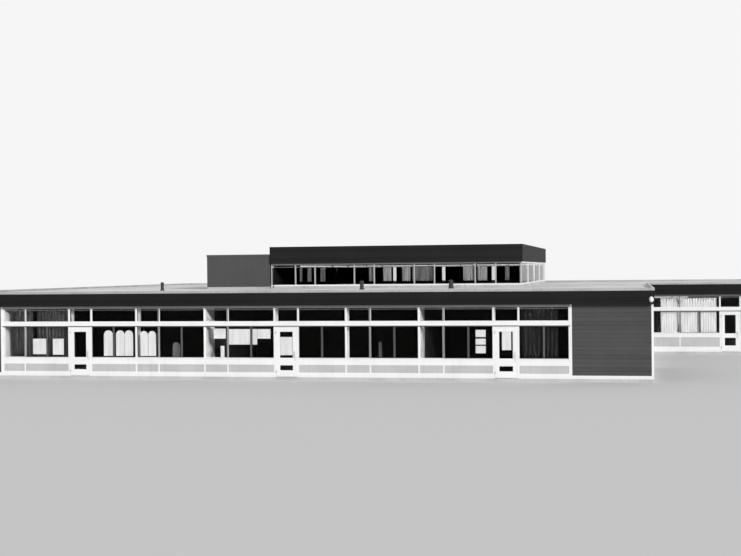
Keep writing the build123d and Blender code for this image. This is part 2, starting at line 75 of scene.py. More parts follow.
def gx(k):
    """X of a grid line, in metres."""
    return slab_low.x + grid(k - MAIN_LEFT)


def gy(j):
    """Y of a grid line counted back from the front, in metres."""
    return slab_low.y + grid(j)


print("module", round(MODULE, 4), "depth in modules", round(DEPTH, 3))

# %% [markdown]
# ## Walls as drawings
# A wall is easiest to lay out as a drawing seen from outside: x to the right, z up, and y going in.
# One matrix per wall then turns and moves the drawing to its place, so the same code dresses all the
# sides. A light is one window between two mullions. A bay has a single light and a double one. The
# wing's first single light is wider than the others, because its grid starts about two thirds of a
# module further on.


# %% Walls and their lights
def wall_place(x, y, quarter_turns=0):
    """The matrix that turns a wall's drawing about the vertical and moves it to its line."""
    return Matrix.Translation((x, y, 0)) @ Matrix.Rotation(quarter_turns * math.pi / 2, 4, "Z")


def lights_between(start, end, doors_at=()):
    """(first line, last line, kind) for each light of a run of bays."""
    found = []
    line = start
    while line + BAY <= end:
        found.append((line, line + 1, "door" if line in doors_at else "single"))
        found.append((line + 1, line + BAY, "double"))
        line += BAY
    return found


FRONT = wall_place(gx(0), gy(0))
WING = wall_place(gx(0), gy(WING_SETBACK))
REAR = wall_place(gx(0), gy(DEPTH), 2)
LEFT = wall_place(gx(MAIN_LEFT), gy(0), -1)
RIGHT = wall_place(gx(MAIN_RIGHT), gy(0), 1)
WING_END = wall_place(gx(WING_RIGHT), gy(0), 1)
HALF_MULLION, HEAD_RAIL = 0.03, 0.09
FRONT_GROUP, LEFT_GROUP, RIGHT_GROUP, WING_END_GROUP = (-24, 0), (-24, -12), (8, 17), (23.25, 26.25)
REAR_GROUPS = [(-6, 6), (12, 24)]
DOOR_LINES = (-21, -12, -3)
WING_SHIFT = 0.65
WING_GRID = MAIN_RIGHT + WING_SHIFT
WING_GLASS_END = WING_GRID + 2 * BAY
WING_LIGHTS = [(MAIN_RIGHT + HALF_MULLION / MODULE, WING_GRID + 1, "single")]
WING_LIGHTS += lights_between(WING_GRID, WING_GLASS_END, (WING_GRID + BAY,))[1:]
FRONT_CILL, WING_CILL = SLAB_TOP + 0.805, SLAB_TOP + 0.995
GLAZED = [
    (FRONT, lights_between(*FRONT_GROUP, DOOR_LINES), FRONT_CILL),
    (WING, WING_LIGHTS, WING_CILL),
    (REAR, lights_between(*REAR_GROUPS[0]), FRONT_CILL),
    (REAR, lights_between(*REAR_GROUPS[1]), FRONT_CILL),
    (LEFT, lights_between(*LEFT_GROUP), FRONT_CILL),
    (RIGHT, lights_between(*RIGHT_GROUP), FRONT_CILL),
    (WING_END, lights_between(*WING_END_GROUP), FRONT_CILL),
]
DOOR_HEAD, TRANSOM_BOTTOM, TRANSOM_TOP = 2.2, 2.27, 2.45
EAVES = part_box("upper_frames")[1].z
HEAD_BOTTOM = EAVES - HEAD_RAIL
print("lights", sum(len(lights) for _, lights, _ in GLAZED))

# %% [markdown]
# ## The camera
# The picture was taken from a rise in front of the building with a long lens, a little to the right of
# its middle and turned to the left. A perspective fit to the mullions gives the place and the angles,
# and no shift is needed.

# %% Camera
EYE = (gx(0) + 2.272, gy(0) - 53.307, 4.577)
YAW, PITCH, ROLL = 0.1918, -0.0064, -0.0096
LENS_MM, SENSOR_MM, FARTHEST = 64.13, 36.0, 5000.0
camera = bpy.data.objects.new("camera", bpy.data.cameras.new("camera"))
bpy.context.scene.collection.objects.link(camera)
upright = Matrix.Rotation(math.pi / 2 + PITCH, 4, "X")
turn = Matrix.Rotation(YAW, 4, "Z") @ upright @ Matrix.Rotation(ROLL, 4, "Z")
camera.matrix_world = Matrix.Translation(EYE) @ turn
camera.data.lens = LENS_MM
camera.data.sensor_width = SENSOR_MM
camera.data.clip_end = FARTHEST
bpy.context.scene.camera = camera
print("camera", [round(value, 3) for value in EYE])

# %% [markdown]
# ## Small steps for the shaders
# The air, the floor and every finish are built from nodes, so a few helpers come first: one math step, a
# smooth ramp, plain values set on a node's own inputs, and a test for the rays that show a thing to the
# camera. That test lets the air look one way and light the building another.


# %% Node helpers
def math_node(tree, operation, first, second=0.0):
    """One math step on values or sockets."""
    step = tree.nodes.new("ShaderNodeMath")
    step.operation = operation
    for slot, value in zip(step.inputs, (first, second)):
        if isinstance(value, (int, float)):
            slot.default_value = value
        else:
            tree.links.new(value, slot)
    return step.outputs[0]


def add_part(tree, base, value, factor):
    """base + value * factor, on values or sockets."""
    return math_node(tree, "ADD", base, math_node(tree, "MULTIPLY", value, factor))


def set_inputs(node, **values):
    """Sets plain values on a node's inputs, whose names use _ for a space here."""
    for name, value in values.items():
        node.inputs[name.replace("_", " ")].default_value = value


def ramp(tree, value, low, high):
    """0 below low, 1 above high, smooth between."""
    step = tree.nodes.new("ShaderNodeMapRange")
    step.interpolation_type = "SMOOTHSTEP"
    set_inputs(step, From_Min=low, From_Max=high)
    tree.links.new(value, step.inputs["Value"])
    return step.outputs["Result"]


def looked_at(tree):
    """1 for what the camera sees, also in a mirror or through glass, and 0 where light is gathered."""
    path = tree.nodes.new("ShaderNodeLightPath").outputs
    level = math_node(tree, "MAXIMUM", path["Is Camera Ray"], path["Is Glossy Ray"])
    level = math_node(tree, "MAXIMUM", level, path["Is Transmission Ray"])
    return math_node(tree, "MULTIPLY", level, math_node(tree, "LESS_THAN", path["Diffuse Depth"], 0.5))


def mix_shaders(tree, factor, first, second):
    """Sends a mix of two shaders to the material's output."""
    mix = tree.nodes.new("ShaderNodeMixShader")
    for slot, socket in zip(mix.inputs, (factor, first, second)):
        tree.links.new(socket, slot)
    tree.links.new(mix.outputs[0], tree.nodes["Material Output"].inputs["Surface"])


def material(name):
    """A new material with its tree and shader."""
    made = bpy.data.materials.new(name)
    made.use_nodes = True
    return made, made.node_tree, made.node_tree.nodes["Principled BSDF"]


def grey(value):
    return (value, value, value, 1.0)


print("node helpers ready")

# %% [markdown]
# ## The stage
# A plain pale floor and pale air round it, so that nothing competes with the building. The camera,
# mirrors and glass see the air at one even strength, and as a lamp it is dimmer. A look through glass
# counts as seeing only while the ray has not yet struck a matt surface, or the rooms would glow.

# %% World
SEEN_AIR, AIR_AS_LAMP = 0.92, 0.52
world = bpy.data.worlds.new("studio")
bpy.context.scene.world = world
world.use_nodes = True
world_tree = world.node_tree
background = world_tree.nodes["Background"]
strength = world_tree.nodes.new("ShaderNodeMapRange")
set_inputs(strength, To_Min=AIR_AS_LAMP, To_Max=SEEN_AIR)
world_tree.links.new(looked_at(world_tree), strength.inputs["Value"])
world_tree.links.new(strength.outputs["Result"], background.inputs["Strength"])
set_inputs(background, Color=(1, 1, 1, 1))
print("air seen at", SEEN_AIR, "and lighting at", AIR_AS_LAMP)

# %% [markdown]
# The floor is matt paint near the building, where it takes the shadow. Far out it fades into the tone of
# the air, so there is no horizon line.

# %% Floor
FLOOR_REACH, FLOOR_TONE, FADE_START, FADE_END = 2500.0, 0.70, 55.0, 260.0
floor_mesh = bmesh.new()
bmesh.ops.create_grid(floor_mesh, x_segments=1, y_segments=1, size=FLOOR_REACH)
floor_data = bpy.data.meshes.new("floor")
floor_mesh.to_mesh(floor_data)
floor_mesh.free()
floor = bpy.data.objects.new("floor", floor_data)
bpy.context.scene.collection.objects.link(floor)

floor_paint, floor_tree, floor_shader = material("floor_paint")
set_inputs(floor_shader, Base_Color=grey(FLOOR_TONE), Roughness=1.0, Specular_IOR_Level=0.0)
glow = floor_tree.nodes.new("ShaderNodeEmission")
set_inputs(glow, Strength=SEEN_AIR)
distance = floor_tree.nodes.new("ShaderNodeVectorMath")
distance.operation = "LENGTH"
floor_tree.links.new(floor_tree.nodes.new("ShaderNodeTexCoord").outputs["Object"], distance.inputs[0])
far_out = ramp(floor_tree, distance.outputs["Value"], FADE_START, FADE_END)
share = math_node(floor_tree, "MULTIPLY", far_out, looked_at(floor_tree))
mix_shaders(floor_tree, share, floor_shader.outputs[0], glow.outputs[0])
floor_data.materials.append(floor_paint)
print("floor fades from", FADE_START, "to", FADE_END, "m")

# %% [markdown]
# One sun stands low to the right of the front. It lights the right-hand sides, leaves the head of the
# windows in the shadow of the eaves, and reaches in behind the glass.

# %% Sun
SUN_STRENGTH, SUN_WIDTH = 2.7, 0.06
SUN_FROM = Vector((1.0, -1.0, 0.48))
sun = bpy.data.objects.new("sun", bpy.data.lights.new("sun", "SUN"))
sun.data.energy = SUN_STRENGTH
sun.data.angle = SUN_WIDTH
sun.rotation_euler = SUN_FROM.to_track_quat("Z", "Y").to_euler()
bpy.context.scene.collection.objects.link(sun)
bpy.context.scene.view_settings.view_transform = "Standard"
print("sun height", round(math.degrees(math.atan2(SUN_FROM.z, SUN_FROM.xy.length)), 1), "degrees")

# %% [markdown]
# ## Shared surface effects
# Outdoor paint, boards and stone share three things: slow changes of tone, rain streaks and a fine
# grain. Each is a node group with its own inputs, built once. A group hands out colours, masks and
# heights only, and the shader stays in the material. All of them read Object coordinates in metres.


# %% Group helpers
def group(name, inputs, outputs):
    """An empty node group with its sockets. Returns the tree, what it is given, and its end node."""
    made = bpy.data.node_groups.new(name, "ShaderNodeTree")
    for socket, kind, value in inputs:
        item = made.interface.new_socket(socket, in_out="INPUT", socket_type=kind)
        item.default_value = value
    for socket, kind in outputs:
        made.interface.new_socket(socket, in_out="OUTPUT", socket_type=kind)
    return made, made.nodes.new("NodeGroupInput").outputs, made.nodes.new("NodeGroupOutput")


def hand_out(tree, last, **sockets):
    """Joins sockets to a group's outputs of the same names."""
    for name, socket in sockets.items():
        tree.links.new(socket, last.inputs[name])


def object_position(tree):
    """A point's Object coordinates, whole and split into X, Y and Z."""
    whole = tree.nodes.new("ShaderNodeTexCoord").outputs["Object"]
    separate = tree.nodes.new("ShaderNodeSeparateXYZ")
    tree.links.new(whole, separate.inputs[0])
    return whole, separate.outputs


def noise(tree, vector, scale, detail, stretch=None):
    """Noise read at a vector, which may be stretched first."""
    texture = tree.nodes.new("ShaderNodeTexNoise")
    set_inputs(texture, Scale=scale, Detail=detail)
    if stretch:
        mapping = tree.nodes.new("ShaderNodeMapping")
        set_inputs(mapping, Scale=stretch)
        tree.links.new(vector, mapping.inputs["Vector"])
        vector = mapping.outputs["Vector"]
    tree.links.new(vector, texture.inputs["Vector"])
    return texture.outputs["Fac"]


def mix_colour(tree, factor, first, second):
    """Mixes two colour sockets."""
    mix = tree.nodes.new("ShaderNodeMix")
    mix.data_type = "RGBA"
    for slot, socket in ((mix.inputs["Factor"], factor), (mix.inputs[6], first), (mix.inputs[7], second)):
        tree.links.new(socket, slot)
    return mix.outputs[2]


print("group helpers ready")

# %% [markdown]
# Painted timber and metal weather alike: slow blotches, streaks where the rain runs down, and dirt that
# is splashed up near the ground.

# %% Group: weathered paint
weathered, given, last = group(
    "weathered_paint",
    [
        ("Colour", "NodeSocketColor", grey(0.8)),
        ("Dirt", "NodeSocketColor", grey(0.3)),
        ("Amount", "NodeSocketFloat", 0.3),
        ("Streaks", "NodeSocketFloat", 0.3),
        ("Splash Top", "NodeSocketFloat", 0.35),
    ],
    [("Colour", "NodeSocketColor"), ("Mask", "NodeSocketFloat"), ("Height", "NodeSocketFloat")],
)
STREAK_STRETCH, SPLASH_GAIN = (9.0, 9.0, 0.5), 1.6
coordinates, position = object_position(weathered)
blotches = noise(weathered, coordinates, scale=0.9, detail=4.0)
streaks = noise(weathered, coordinates, scale=1.0, detail=4.0, stretch=STREAK_STRETCH)
fine = noise(weathered, coordinates, scale=60.0, detail=4.0)
below_top = math_node(weathered, "SUBTRACT", given["Splash Top"], position["Z"])
splash = math_node(weathered, "MULTIPLY", math_node(weathered, "MAXIMUM", below_top, 0.0), SPLASH_GAIN)
mask = math_node(weathered, "MULTIPLY", ramp(weathered, blotches, 0.42, 0.72), given["Amount"])
mask = add_part(weathered, mask, ramp(weathered, streaks, 0.5, 0.75), given["Streaks"])
mask = math_node(weathered, "MINIMUM", add_part(weathered, mask, splash, fine), 1.0)
tone = mix_colour(weathered, mask, given["Colour"], given["Dirt"])
hand_out(weathered, last, Colour=tone, Mask=mask, Height=fine)
print("group", weathered.name)

# %% [markdown]
# Stained boards need more: a long grain that runs level along the wall, and a change of tone from one
# board to the next, because each plank drinks its stain differently. The board's number comes from the
# height divided by the board's own, so the tone changes exactly at the joints.

# %% Group: stained boards
boards_group, given, last = group(
    "stained_boards",
    [
        ("Colour", "NodeSocketColor", grey(0.09)),
        ("Pale", "NodeSocketColor", grey(0.16)),
        ("Board", "NodeSocketFloat", 0.15),
        ("Start", "NodeSocketFloat", 0.0),
        ("Variation", "NodeSocketFloat", 0.5),
    ],
    [("Colour", "NodeSocketColor"), ("Roughness", "NodeSocketFloat"), ("Height", "NodeSocketFloat")],
)
GRAIN_STRETCH, GRAIN_SHARE, FADE_SHARE = (1.4, 1.4, 70.0), 0.45, 0.3
coordinates, position = object_position(boards_group)
course = math_node(boards_group, "SUBTRACT", position["Z"], given["Start"])
course = math_node(boards_group, "FLOOR", math_node(boards_group, "DIVIDE", course, given["Board"]))
white = boards_group.nodes.new("ShaderNodeTexWhiteNoise")
white.noise_dimensions = "1D"
boards_group.links.new(course, white.inputs["W"])
grain = noise(boards_group, coordinates, scale=1.0, detail=5.0, stretch=GRAIN_STRETCH)
faded = noise(boards_group, coordinates, scale=0.5, detail=3.0)
tone = math_node(boards_group, "MULTIPLY", white.outputs["Value"], given["Variation"])
tone = add_part(boards_group, tone, ramp(boards_group, grain, 0.35, 0.75), GRAIN_SHARE)
tone = add_part(boards_group, tone, ramp(boards_group, faded, 0.4, 0.7), FADE_SHARE)
tone = math_node(boards_group, "MINIMUM", tone, 1.0)
tone = mix_colour(boards_group, tone, given["Colour"], given["Pale"])
hand_out(boards_group, last, Colour=tone, Roughness=add_part(boards_group, 0.5, grain, 0.3), Height=grain)
print("group", boards_group.name)

# %% [markdown]
# The flat roofs are covered with pale stone chippings bedded in bitumen. Up close they are separate
# chips, from a distance they are a bright mottled sheet with greyer drifts where the stone has washed
# thin. Voronoi cells a centimetre or two across give the chips, and slow noise gives the drifts.

# %% Group: stone chippings
chips_group, given, last = group(
    "stone_chippings",
    [
        ("Pale", "NodeSocketColor", grey(0.72)),
        ("Dark", "NodeSocketColor", grey(0.3)),
        ("Chip", "NodeSocketFloat", 70.0),
    ],
    [("Colour", "NodeSocketColor"), ("Roughness", "NodeSocketFloat"), ("Height", "NodeSocketFloat")],
)
CHIP_SHARE, DRIFT_SHARE = 0.4, 0.6
coordinates = chips_group.nodes.new("ShaderNodeTexCoord").outputs["Object"]
cells = chips_group.nodes.new("ShaderNodeTexVoronoi")
chips_group.links.new(coordinates, cells.inputs["Vector"])
chips_group.links.new(given["Chip"], cells.inputs["Scale"])
drift = ramp(chips_group, noise(chips_group, coordinates, scale=0.22, detail=7.0), 0.38, 0.78)
cell_tone = chips_group.nodes.new("ShaderNodeSeparateXYZ")
chips_group.links.new(cells.outputs["Color"], cell_tone.inputs[0])
tone = math_node(chips_group, "MULTIPLY", cell_tone.outputs["X"], CHIP_SHARE)
tone = add_part(chips_group, tone, drift, DRIFT_SHARE)
hand_out(
    chips_group, last,
    Colour=mix_colour(chips_group, tone, given["Pale"], given["Dark"]),
    Roughness=add_part(chips_group, 0.85, tone, 0.1),
    Height=math_node(chips_group, "SUBTRACT", 1.0, cells.outputs["Distance"]),
)
print("group", chips_group.name)

# %% [markdown]
# ## Materials
# Each painted or boarded finish is one Principled shader with a group feeding it. The roughness of paint
# follows the dirt, so that clean paint shines a little and grimy paint does not, and a shallow bump from
# the same group breaks up the highlights.


# %% Material helpers
def place_group(tree, which, **values):
    """A group node with its own values."""
    node = tree.nodes.new("ShaderNodeGroup")
    node.node_tree = which
    set_inputs(node, **values)
    return node


def bump(tree, shader, height, strength, distance):
    """Bump from a height socket into the shader's normal."""
    node = tree.nodes.new("ShaderNodeBump")
    set_inputs(node, Strength=strength, Distance=distance)
    tree.links.new(height, node.inputs["Height"])
    tree.links.new(node.outputs["Normal"], shader.inputs["Normal"])


def paint_tones(colour, dirt, amount, streaks, splash_top):
    """The weathered paint group's values by their names."""
    tones = {"Colour": grey(colour), "Dirt": grey(dirt)}
    return {**tones, "Amount": amount, "Streaks": streaks, "Splash_Top": splash_top}


DIRT_ROUGHNESS, PAINT_BUMP, PAINT_RELIEF = 0.5, 0.35, 0.0006


def painted(name, colour, dirt, amount, streaks, clean_rough, splash_top=0.3, relief=PAINT_RELIEF, **plain):
    """Paint over timber, board or metal, weathered, with further plain values for its shader."""
    made, tree, shader = material(name)
    node = place_group(tree, weathered, **paint_tones(colour, dirt, amount, streaks, splash_top))
    tree.links.new(node.outputs["Colour"], shader.inputs["Base Color"])
    rough = add_part(tree, clean_rough, node.outputs["Mask"], DIRT_ROUGHNESS)
    tree.links.new(rough, shader.inputs["Roughness"])
    bump(tree, shader, node.outputs["Height"], PAINT_BUMP, relief)
    set_inputs(shader, **plain)
    return made


def boarded(name, colour, pale, board, start):
    """Stained timber boarding, which hardly shines."""
    made, tree, shader = material(name)
    node = place_group(tree, boards_group, Colour=grey(colour), Pale=grey(pale), Board=board, Start=start)
    tree.links.new(node.outputs["Colour"], shader.inputs["Base Color"])
    tree.links.new(node.outputs["Roughness"], shader.inputs["Roughness"])
    set_inputs(shader, Specular_IOR_Level=0.12)
    bump(tree, shader, node.outputs["Height"], 0.5, 0.0015)
    return made


print("material helpers ready")

# %% [markdown]
# The paints differ in tone, in how dirty and streaked they are, and in how much they shine when clean.
# The dirt that is splashed up from the ground stops at a height of its own, and high parts have none.

# %% Paints, panels and metals
# Tone, tone of the dirt, how much dirt, how strong the streaks, and the roughness when clean.
joinery_white = painted("joinery_white", 0.86, 0.5, 0.12, 0.10, 0.32)
panel_grey = painted("panel_grey", 0.52, 0.34, 0.3, 0.25, 0.45, splash_top=0.45)
sash_grey = painted("sash_grey", 0.075, 0.12, 0.3, 0.2, 0.35)
column_white = painted("column_white", 0.82, 0.5, 0.1, 0.08, 0.35)
partition_paint = painted("partition_paint", 0.45, 0.3, 0.12, 0.05, 0.6, splash_top=0.25)
# The back wall of the classrooms is near black: painted shade for the dim depth of the rooms.
back_wall_painted_shade = painted(
    "back_wall_painted_shade", 0.014, 0.022, 0.3, 0.1, 0.6, splash_top=0.25, Specular_IOR_Level=0.1
)
kerb_metal = painted("kerb_metal", 0.50, 0.25, 0.45, 0.35, 0.4, splash_top=0.0, Metallic=0.6)
satin_metal = painted(
    "satin_metal", 0.55, 0.3, 0.2, 0.1, 0.3, splash_top=0.0, relief=0.0001, Metallic=0.9
)
vent_paint = painted("vent_paint", 0.016, 0.04, 0.5, 0.4, 0.55, splash_top=0.0)
plant_paint = painted("plant_paint", 0.062, 0.085, 0.35, 0.35, 0.6, splash_top=0.0)
lamp_enamel = painted("lamp_enamel", 0.80, 0.5, 0.15, 0.15, 0.2, splash_top=0.0)
print("materials", len(bpy.data.materials))

# %% [markdown]
# Window glass is clear and almost black from outside, because the rooms behind it are dim. Transmission
# stays a plain number. A full index of refraction would mirror the pale studio in both faces of every
# pane, so it is set low, which is a choice of looks, and only a glancing view gives a bright reflection.
# A pane also has to let the sun in, or nothing behind it would ever be lit: for shadow rays alone the
# shader is swapped for a transparent one.

# %% Glass
LET_IN, PANE_ROUGHNESS = 0.7, 0.01


def glass(name, tint, index):
    """Clear glass that shadow rays pass, dimmed."""
    made, tree, shader = material(name)
    set_inputs(shader, Base_Color=grey(tint), Transmission_Weight=1.0, Roughness=PANE_ROUGHNESS, IOR=index)
    clear = tree.nodes.new("ShaderNodeBsdfTransparent")
    set_inputs(clear, Color=grey(LET_IN))
    shadow_ray = tree.nodes.new("ShaderNodeLightPath").outputs["Is Shadow Ray"]
    mix_shaders(tree, shadow_ray, shader.outputs[0], clear.outputs[0])
    return made


window_glass = glass("window_glass", 0.97, 1.10)
hall_pane = glass("hall_pane", 0.85, 1.02)
print("glass lets in", LET_IN)

# %% [markdown]
# Three finishes change with height alone. A roof deck has chippings on top and a painted soffit below.
# The plant room is painted, with chippings on its lid. The slab shows pale concrete at its edge and a
# near-black floor on top, inside the rooms, whose dark tone is painted shade for the dim rooms.

# %% Roof decks and slab
JUST_UNDER = 0.0005
ROOF_CHANGE = EAVES + 0.3


def pick(tree, shader, axis, tones, levels):
    """Colours a shader from one of several groups, by where a point lies on an axis."""
    position = object_position(tree)[1]
    colour = tones[0].outputs["Colour"]
    for tone, level in zip(tones[1:], levels):
        beyond = math_node(tree, "GREATER_THAN", position[axis], level)
        colour = mix_colour(tree, beyond, colour, tone.outputs["Colour"])
    tree.links.new(colour, shader.inputs["Base Color"])
    return beyond


def topped(name, level, below, top_group, top_values, strength, relief):
    """One material with paint below a level and another finish on top, whose relief shows there only."""
    made, tree, shader = material(name)
    under = place_group(tree, weathered, **below)
    top = place_group(tree, top_group, **top_values)
    on_top = pick(tree, shader, "Z", [under, top], [level])
    set_inputs(shader, Roughness=0.9)
    bump(tree, shader, math_node(tree, "MULTIPLY", top.outputs["Height"], on_top), strength, relief)
    return made


chippings = (chips_group, {"Pale": grey(0.88), "Dark": grey(0.46), "Chip": 70.0}, 0.9, 0.006)
# The floor inside the rooms is near black: painted shade for the dim rooms.
dark_floor_painted_shade = (weathered, paint_tones(0.045, 0.03, 0.4, 0.0, 0.0), 0.3, 0.001)
plant_low, plant_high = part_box("plant_room")
roof_deck = topped("roof_deck", ROOF_CHANGE, paint_tones(0.12, 0.08, 0.3, 0.0, 0.0), *chippings)
slab_concrete = topped(
    "slab_concrete", SLAB_TOP - JUST_UNDER, paint_tones(0.52, 0.36, 0.6, 0.2, 0.05), *dark_floor_painted_shade
)
plant_shell = topped(
    "plant_shell", plant_high.z - JUST_UNDER, paint_tones(0.062, 0.085, 0.25, 0.12, 0.0), *chippings
)
print("roof, slab and plant room change at", [round(z, 3) for z in (ROOF_CHANGE, SLAB_TOP, plant_high.z)])

# %% [markdown]
# The walls between the classrooms are white beside the window and dark further in. The dark is painted
# shade, so only their first metre or so looks lit. The change comes at one distance from the front, so the
# same idea serves: one position coordinate picks one of two colours.

# %% Classroom walls
SHADE_PAINTED_FROM = 1.25
room_wall_and_painted_shade, room_tree, room_shader = material("room_wall_and_painted_shade")
wall_and_shade_tones = [
    place_group(room_tree, weathered, **paint_tones(0.84, 0.6, 0.1, 0.05, 0.25)),
    place_group(room_tree, weathered, **paint_tones(0.03, 0.05, 0.4, 0.1, 0.25)),
]
pick(room_tree, room_shader, "Y", wall_and_shade_tones, [gy(0) + SHADE_PAINTED_FROM])
set_inputs(room_shader, Roughness=0.7, Specular_IOR_Level=0.2)
# From this distance on, the walls carry painted shade.
print("lining from", SHADE_PAINTED_FROM, "m behind the front")

# %% [markdown]
# The window frames are white, but their head rail is painted grey as painted shade, for the shadow that
# the eaves cast on it. It is part of the same solid, so its tone comes from the height as well.

# %% Frames with a head in painted shade
frame_white_head_shade, frame_tree, frame_shader = material("frame_white_head_shade")
# The second, grey tone is painted shade that the eaves cast on the head rail.
frame_and_head_shade_tones = [
    place_group(frame_tree, weathered, **paint_tones(0.86, 0.5, 0.12, 0.10, 0.3)),
    place_group(frame_tree, weathered, **paint_tones(0.30, 0.2, 0.3, 0.15, 0.0)),
]
pick(frame_tree, frame_shader, "Z", frame_and_head_shade_tones, [HEAD_BOTTOM - JUST_UNDER])
rough = add_part(frame_tree, 0.32, frame_and_head_shade_tones[0].outputs["Mask"], DIRT_ROUGHNESS)
frame_tree.links.new(rough, frame_shader.inputs["Roughness"])
bump(frame_tree, frame_shader, frame_and_head_shade_tones[0].outputs["Height"], PAINT_BUMP, PAINT_RELIEF)
# The head's painted shade starts at this height.
print("head trim from", round(HEAD_BOTTOM, 3), "m up")

# %% [markdown]
# The hall's frames show three tones: a white cill board, greyer mullions, and a dark head, whose dark is
# painted shade under the hall's fascia. Two height tests in a row pick between them.

# %% Hall frames
HALL_CILL, HALL_HEAD = 0.19, 0.08
hall_frame_low, hall_frame_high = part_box("hall_frames_long")
hall_levels = [hall_frame_low.z + HALL_CILL - JUST_UNDER, hall_frame_high.z - HALL_HEAD - JUST_UNDER]
hall_paint_and_head_shade, hall_tree, hall_shader = material("hall_paint_and_head_shade")
# The last and darkest tone, for the head, is painted shade.
hall_tones_and_head_shade = [
    place_group(hall_tree, weathered, **paint_tones(colour, dirt, 0.2, 0.15, 0.0))
    for colour, dirt in ((0.84, 0.5), (0.42, 0.3), (0.16, 0.12))
]
pick(hall_tree, hall_shader, "Z", hall_tones_and_head_shade, hall_levels)
set_inputs(hall_shader, Roughness=0.45)
bump(hall_tree, hall_shader, hall_tones_and_head_shade[0].outputs["Height"], PAINT_BUMP, PAINT_RELIEF)
print("hall tones change at", [round(level, 3) for level in hall_levels])

# %% [markdown]
# ## Dressing the solids
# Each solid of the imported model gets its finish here. The boarding reads its courses from the walls' own
# heights, so the tone changes at the same joints that the boards are cut to further on.

# %% Dress the CAD nodes
BOARDS_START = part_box("boarded_walls")[0].z
WALL_COURSES, FASCIA_COURSES, HALL_COURSES = 17, 4, 6
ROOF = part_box("fascia_long")[1].z
wall_boarding = boarded("wall_boarding", 0.058, 0.084, (EAVES - BOARDS_START) / WALL_COURSES, BOARDS_START)
fascia_boarding = boarded("fascia_boarding", 0.008, 0.015, (ROOF - EAVES) / FASCIA_COURSES, EAVES)
doors = ("left", "middle", "right", "wing")
finishes = {
    frame_white_head_shade: "upper_frames side_frames",
    hall_paint_and_head_shade: "hall_frames_long",
    joinery_white: "lower_frames door_linings boarding_base_rails corner_posts hall_frames_side",
    panel_grey: "spandrel_panels",
    sash_grey: "casement_bars",
    column_white: "steel_columns",
    partition_paint: "hall_beams_long hall_beams_side",
    room_wall_and_painted_shade: "cross_walls",
    back_wall_painted_shade: "classroom_back_wall",
    slab_concrete: "floor_slab",
    kerb_metal: "kerb_long kerb_ends",
    satin_metal: "hinge_pins",
    vent_paint: "vent_pipes",
    plant_shell: "plant_room",
    lamp_enamel: "corner_lamp",
    window_glass: "window_glass",
    hall_pane: "hall_glass",
    roof_deck: "roof_front_rear roof_left_right roof_wing hall_roof",
    wall_boarding: "boarded_walls",
    fascia_boarding: "fascia_long fascia_ends hall_fascia_long hall_fascia_ends",
}
dressed = [(name, finish) for finish, names in finishes.items() for name in names.split()]
for part, finish in (("leaf", joinery_white), ("glass", window_glass), ("furniture", satin_metal)):
    dressed += [("door_%s_%s" % (door, part), finish) for door in doors]
for name, finish in dressed:
    nodes[name].data.materials.clear()
    nodes[name].data.materials.append(finish)
print("dressed", len(dressed), "of", len(nodes))

# %% [markdown]
# ## Making pieces
# Nearly everything on this building is a straight member with square ends, so one helper that makes a
# box from a cube does most of the work, and operators such as bevel then give it its real section. Parts
# are drawn on a wall, moved to their place as meshes, and joined into one piece per trade.

# %% Helpers for pieces
OUTWARD = Matrix.Rotation(math.pi / 2, 4, "X")


def box(mesh, x0, x1, y0, y1, z0, z1):
    """A box between two corners, made from a cube. Returns its vertices."""
    corners = bmesh.ops.create_cube(mesh, size=1.0)["verts"]
    bmesh.ops.scale(mesh, vec=(x1 - x0, y1 - y0, z1 - z0), verts=corners)
    bmesh.ops.translate(mesh, vec=((x0 + x1) / 2, (y0 + y1) / 2, (z0 + z1) / 2), verts=corners)
    return corners


def round_bar(mesh, place, length, foot, head, sides):
    """A round bar, which is a cone where the radii of its foot and head differ."""
    bmesh.ops.create_cone(
        mesh, cap_ends=True, segments=sides, radius1=foot, radius2=head, depth=length, matrix=place
    )


def edges_where(mesh, test):
    """The edges whose two ends both pass a test."""
    return [edge for edge in mesh.edges if all(test(vertex) for vertex in edge.verts)]


def bevel(mesh, edges, offset, segments=1):
    """Rounds edges off."""
    bmesh.ops.bevel(
        mesh, geom=edges, offset=offset, affect="EDGES", segments=segments, profile=0.5, material=-1
    )


def spaced(start, end, margin, count):
    """Places at even steps between two ends, kept off each end by a margin."""
    return [start + margin + n * (end - start - 2 * margin) / (count - 1) for n in range(count)]


def joints_between(start, end, length):
    """Where the lengths meet when a run is cut into equal ones of about a given length."""
    count = max(2, round((end - start) / length))
    return [start + n * (end - start) / count for n in range(1, count)]


def join(whole, part, place=Matrix.Identity(4)):
    """Moves a part to its place and adds it to the whole mesh."""
    part.transform(place)
    passing = bpy.data.meshes.new("passing")
    part.to_mesh(passing)
    part.free()
    whole.from_mesh(passing)
    bpy.data.meshes.remove(passing)


def finished(name, mesh, finish, body="building", smooth=False, place=Matrix.Identity(4)):
    """Turns a mesh into a piece that rides on a body and has a finish."""
    mesh.transform(place)
    bmesh.ops.recalc_face_normals(mesh, faces=mesh.faces)
    for face in mesh.faces:
        face.smooth = smooth
    data = bpy.data.meshes.new(name)
    mesh.to_mesh(data)
    mesh.free()
    data.materials.append(finish)
    piece = bpy.data.objects.new(name, data)
    bpy.context.scene.collection.objects.link(piece)
    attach(piece, body)
    print(name, len(data.polygons), "faces")
    return piece


print("piece helpers ready")

# %% [markdown]
# ## Boarding
# The blind parts of the walls are clad in level boards with open channel joints. Each board is a box
# whose level front edges are bevelled, and it stops short of the next one, so that a dark backing shows
# as a line between them. Boards come in limited lengths, so long walls get butt joints, staggered from
# course to course, and a solid core stands behind them. White cover strips close the boarding against
# the windows, and at the corners it runs up to the white posts.

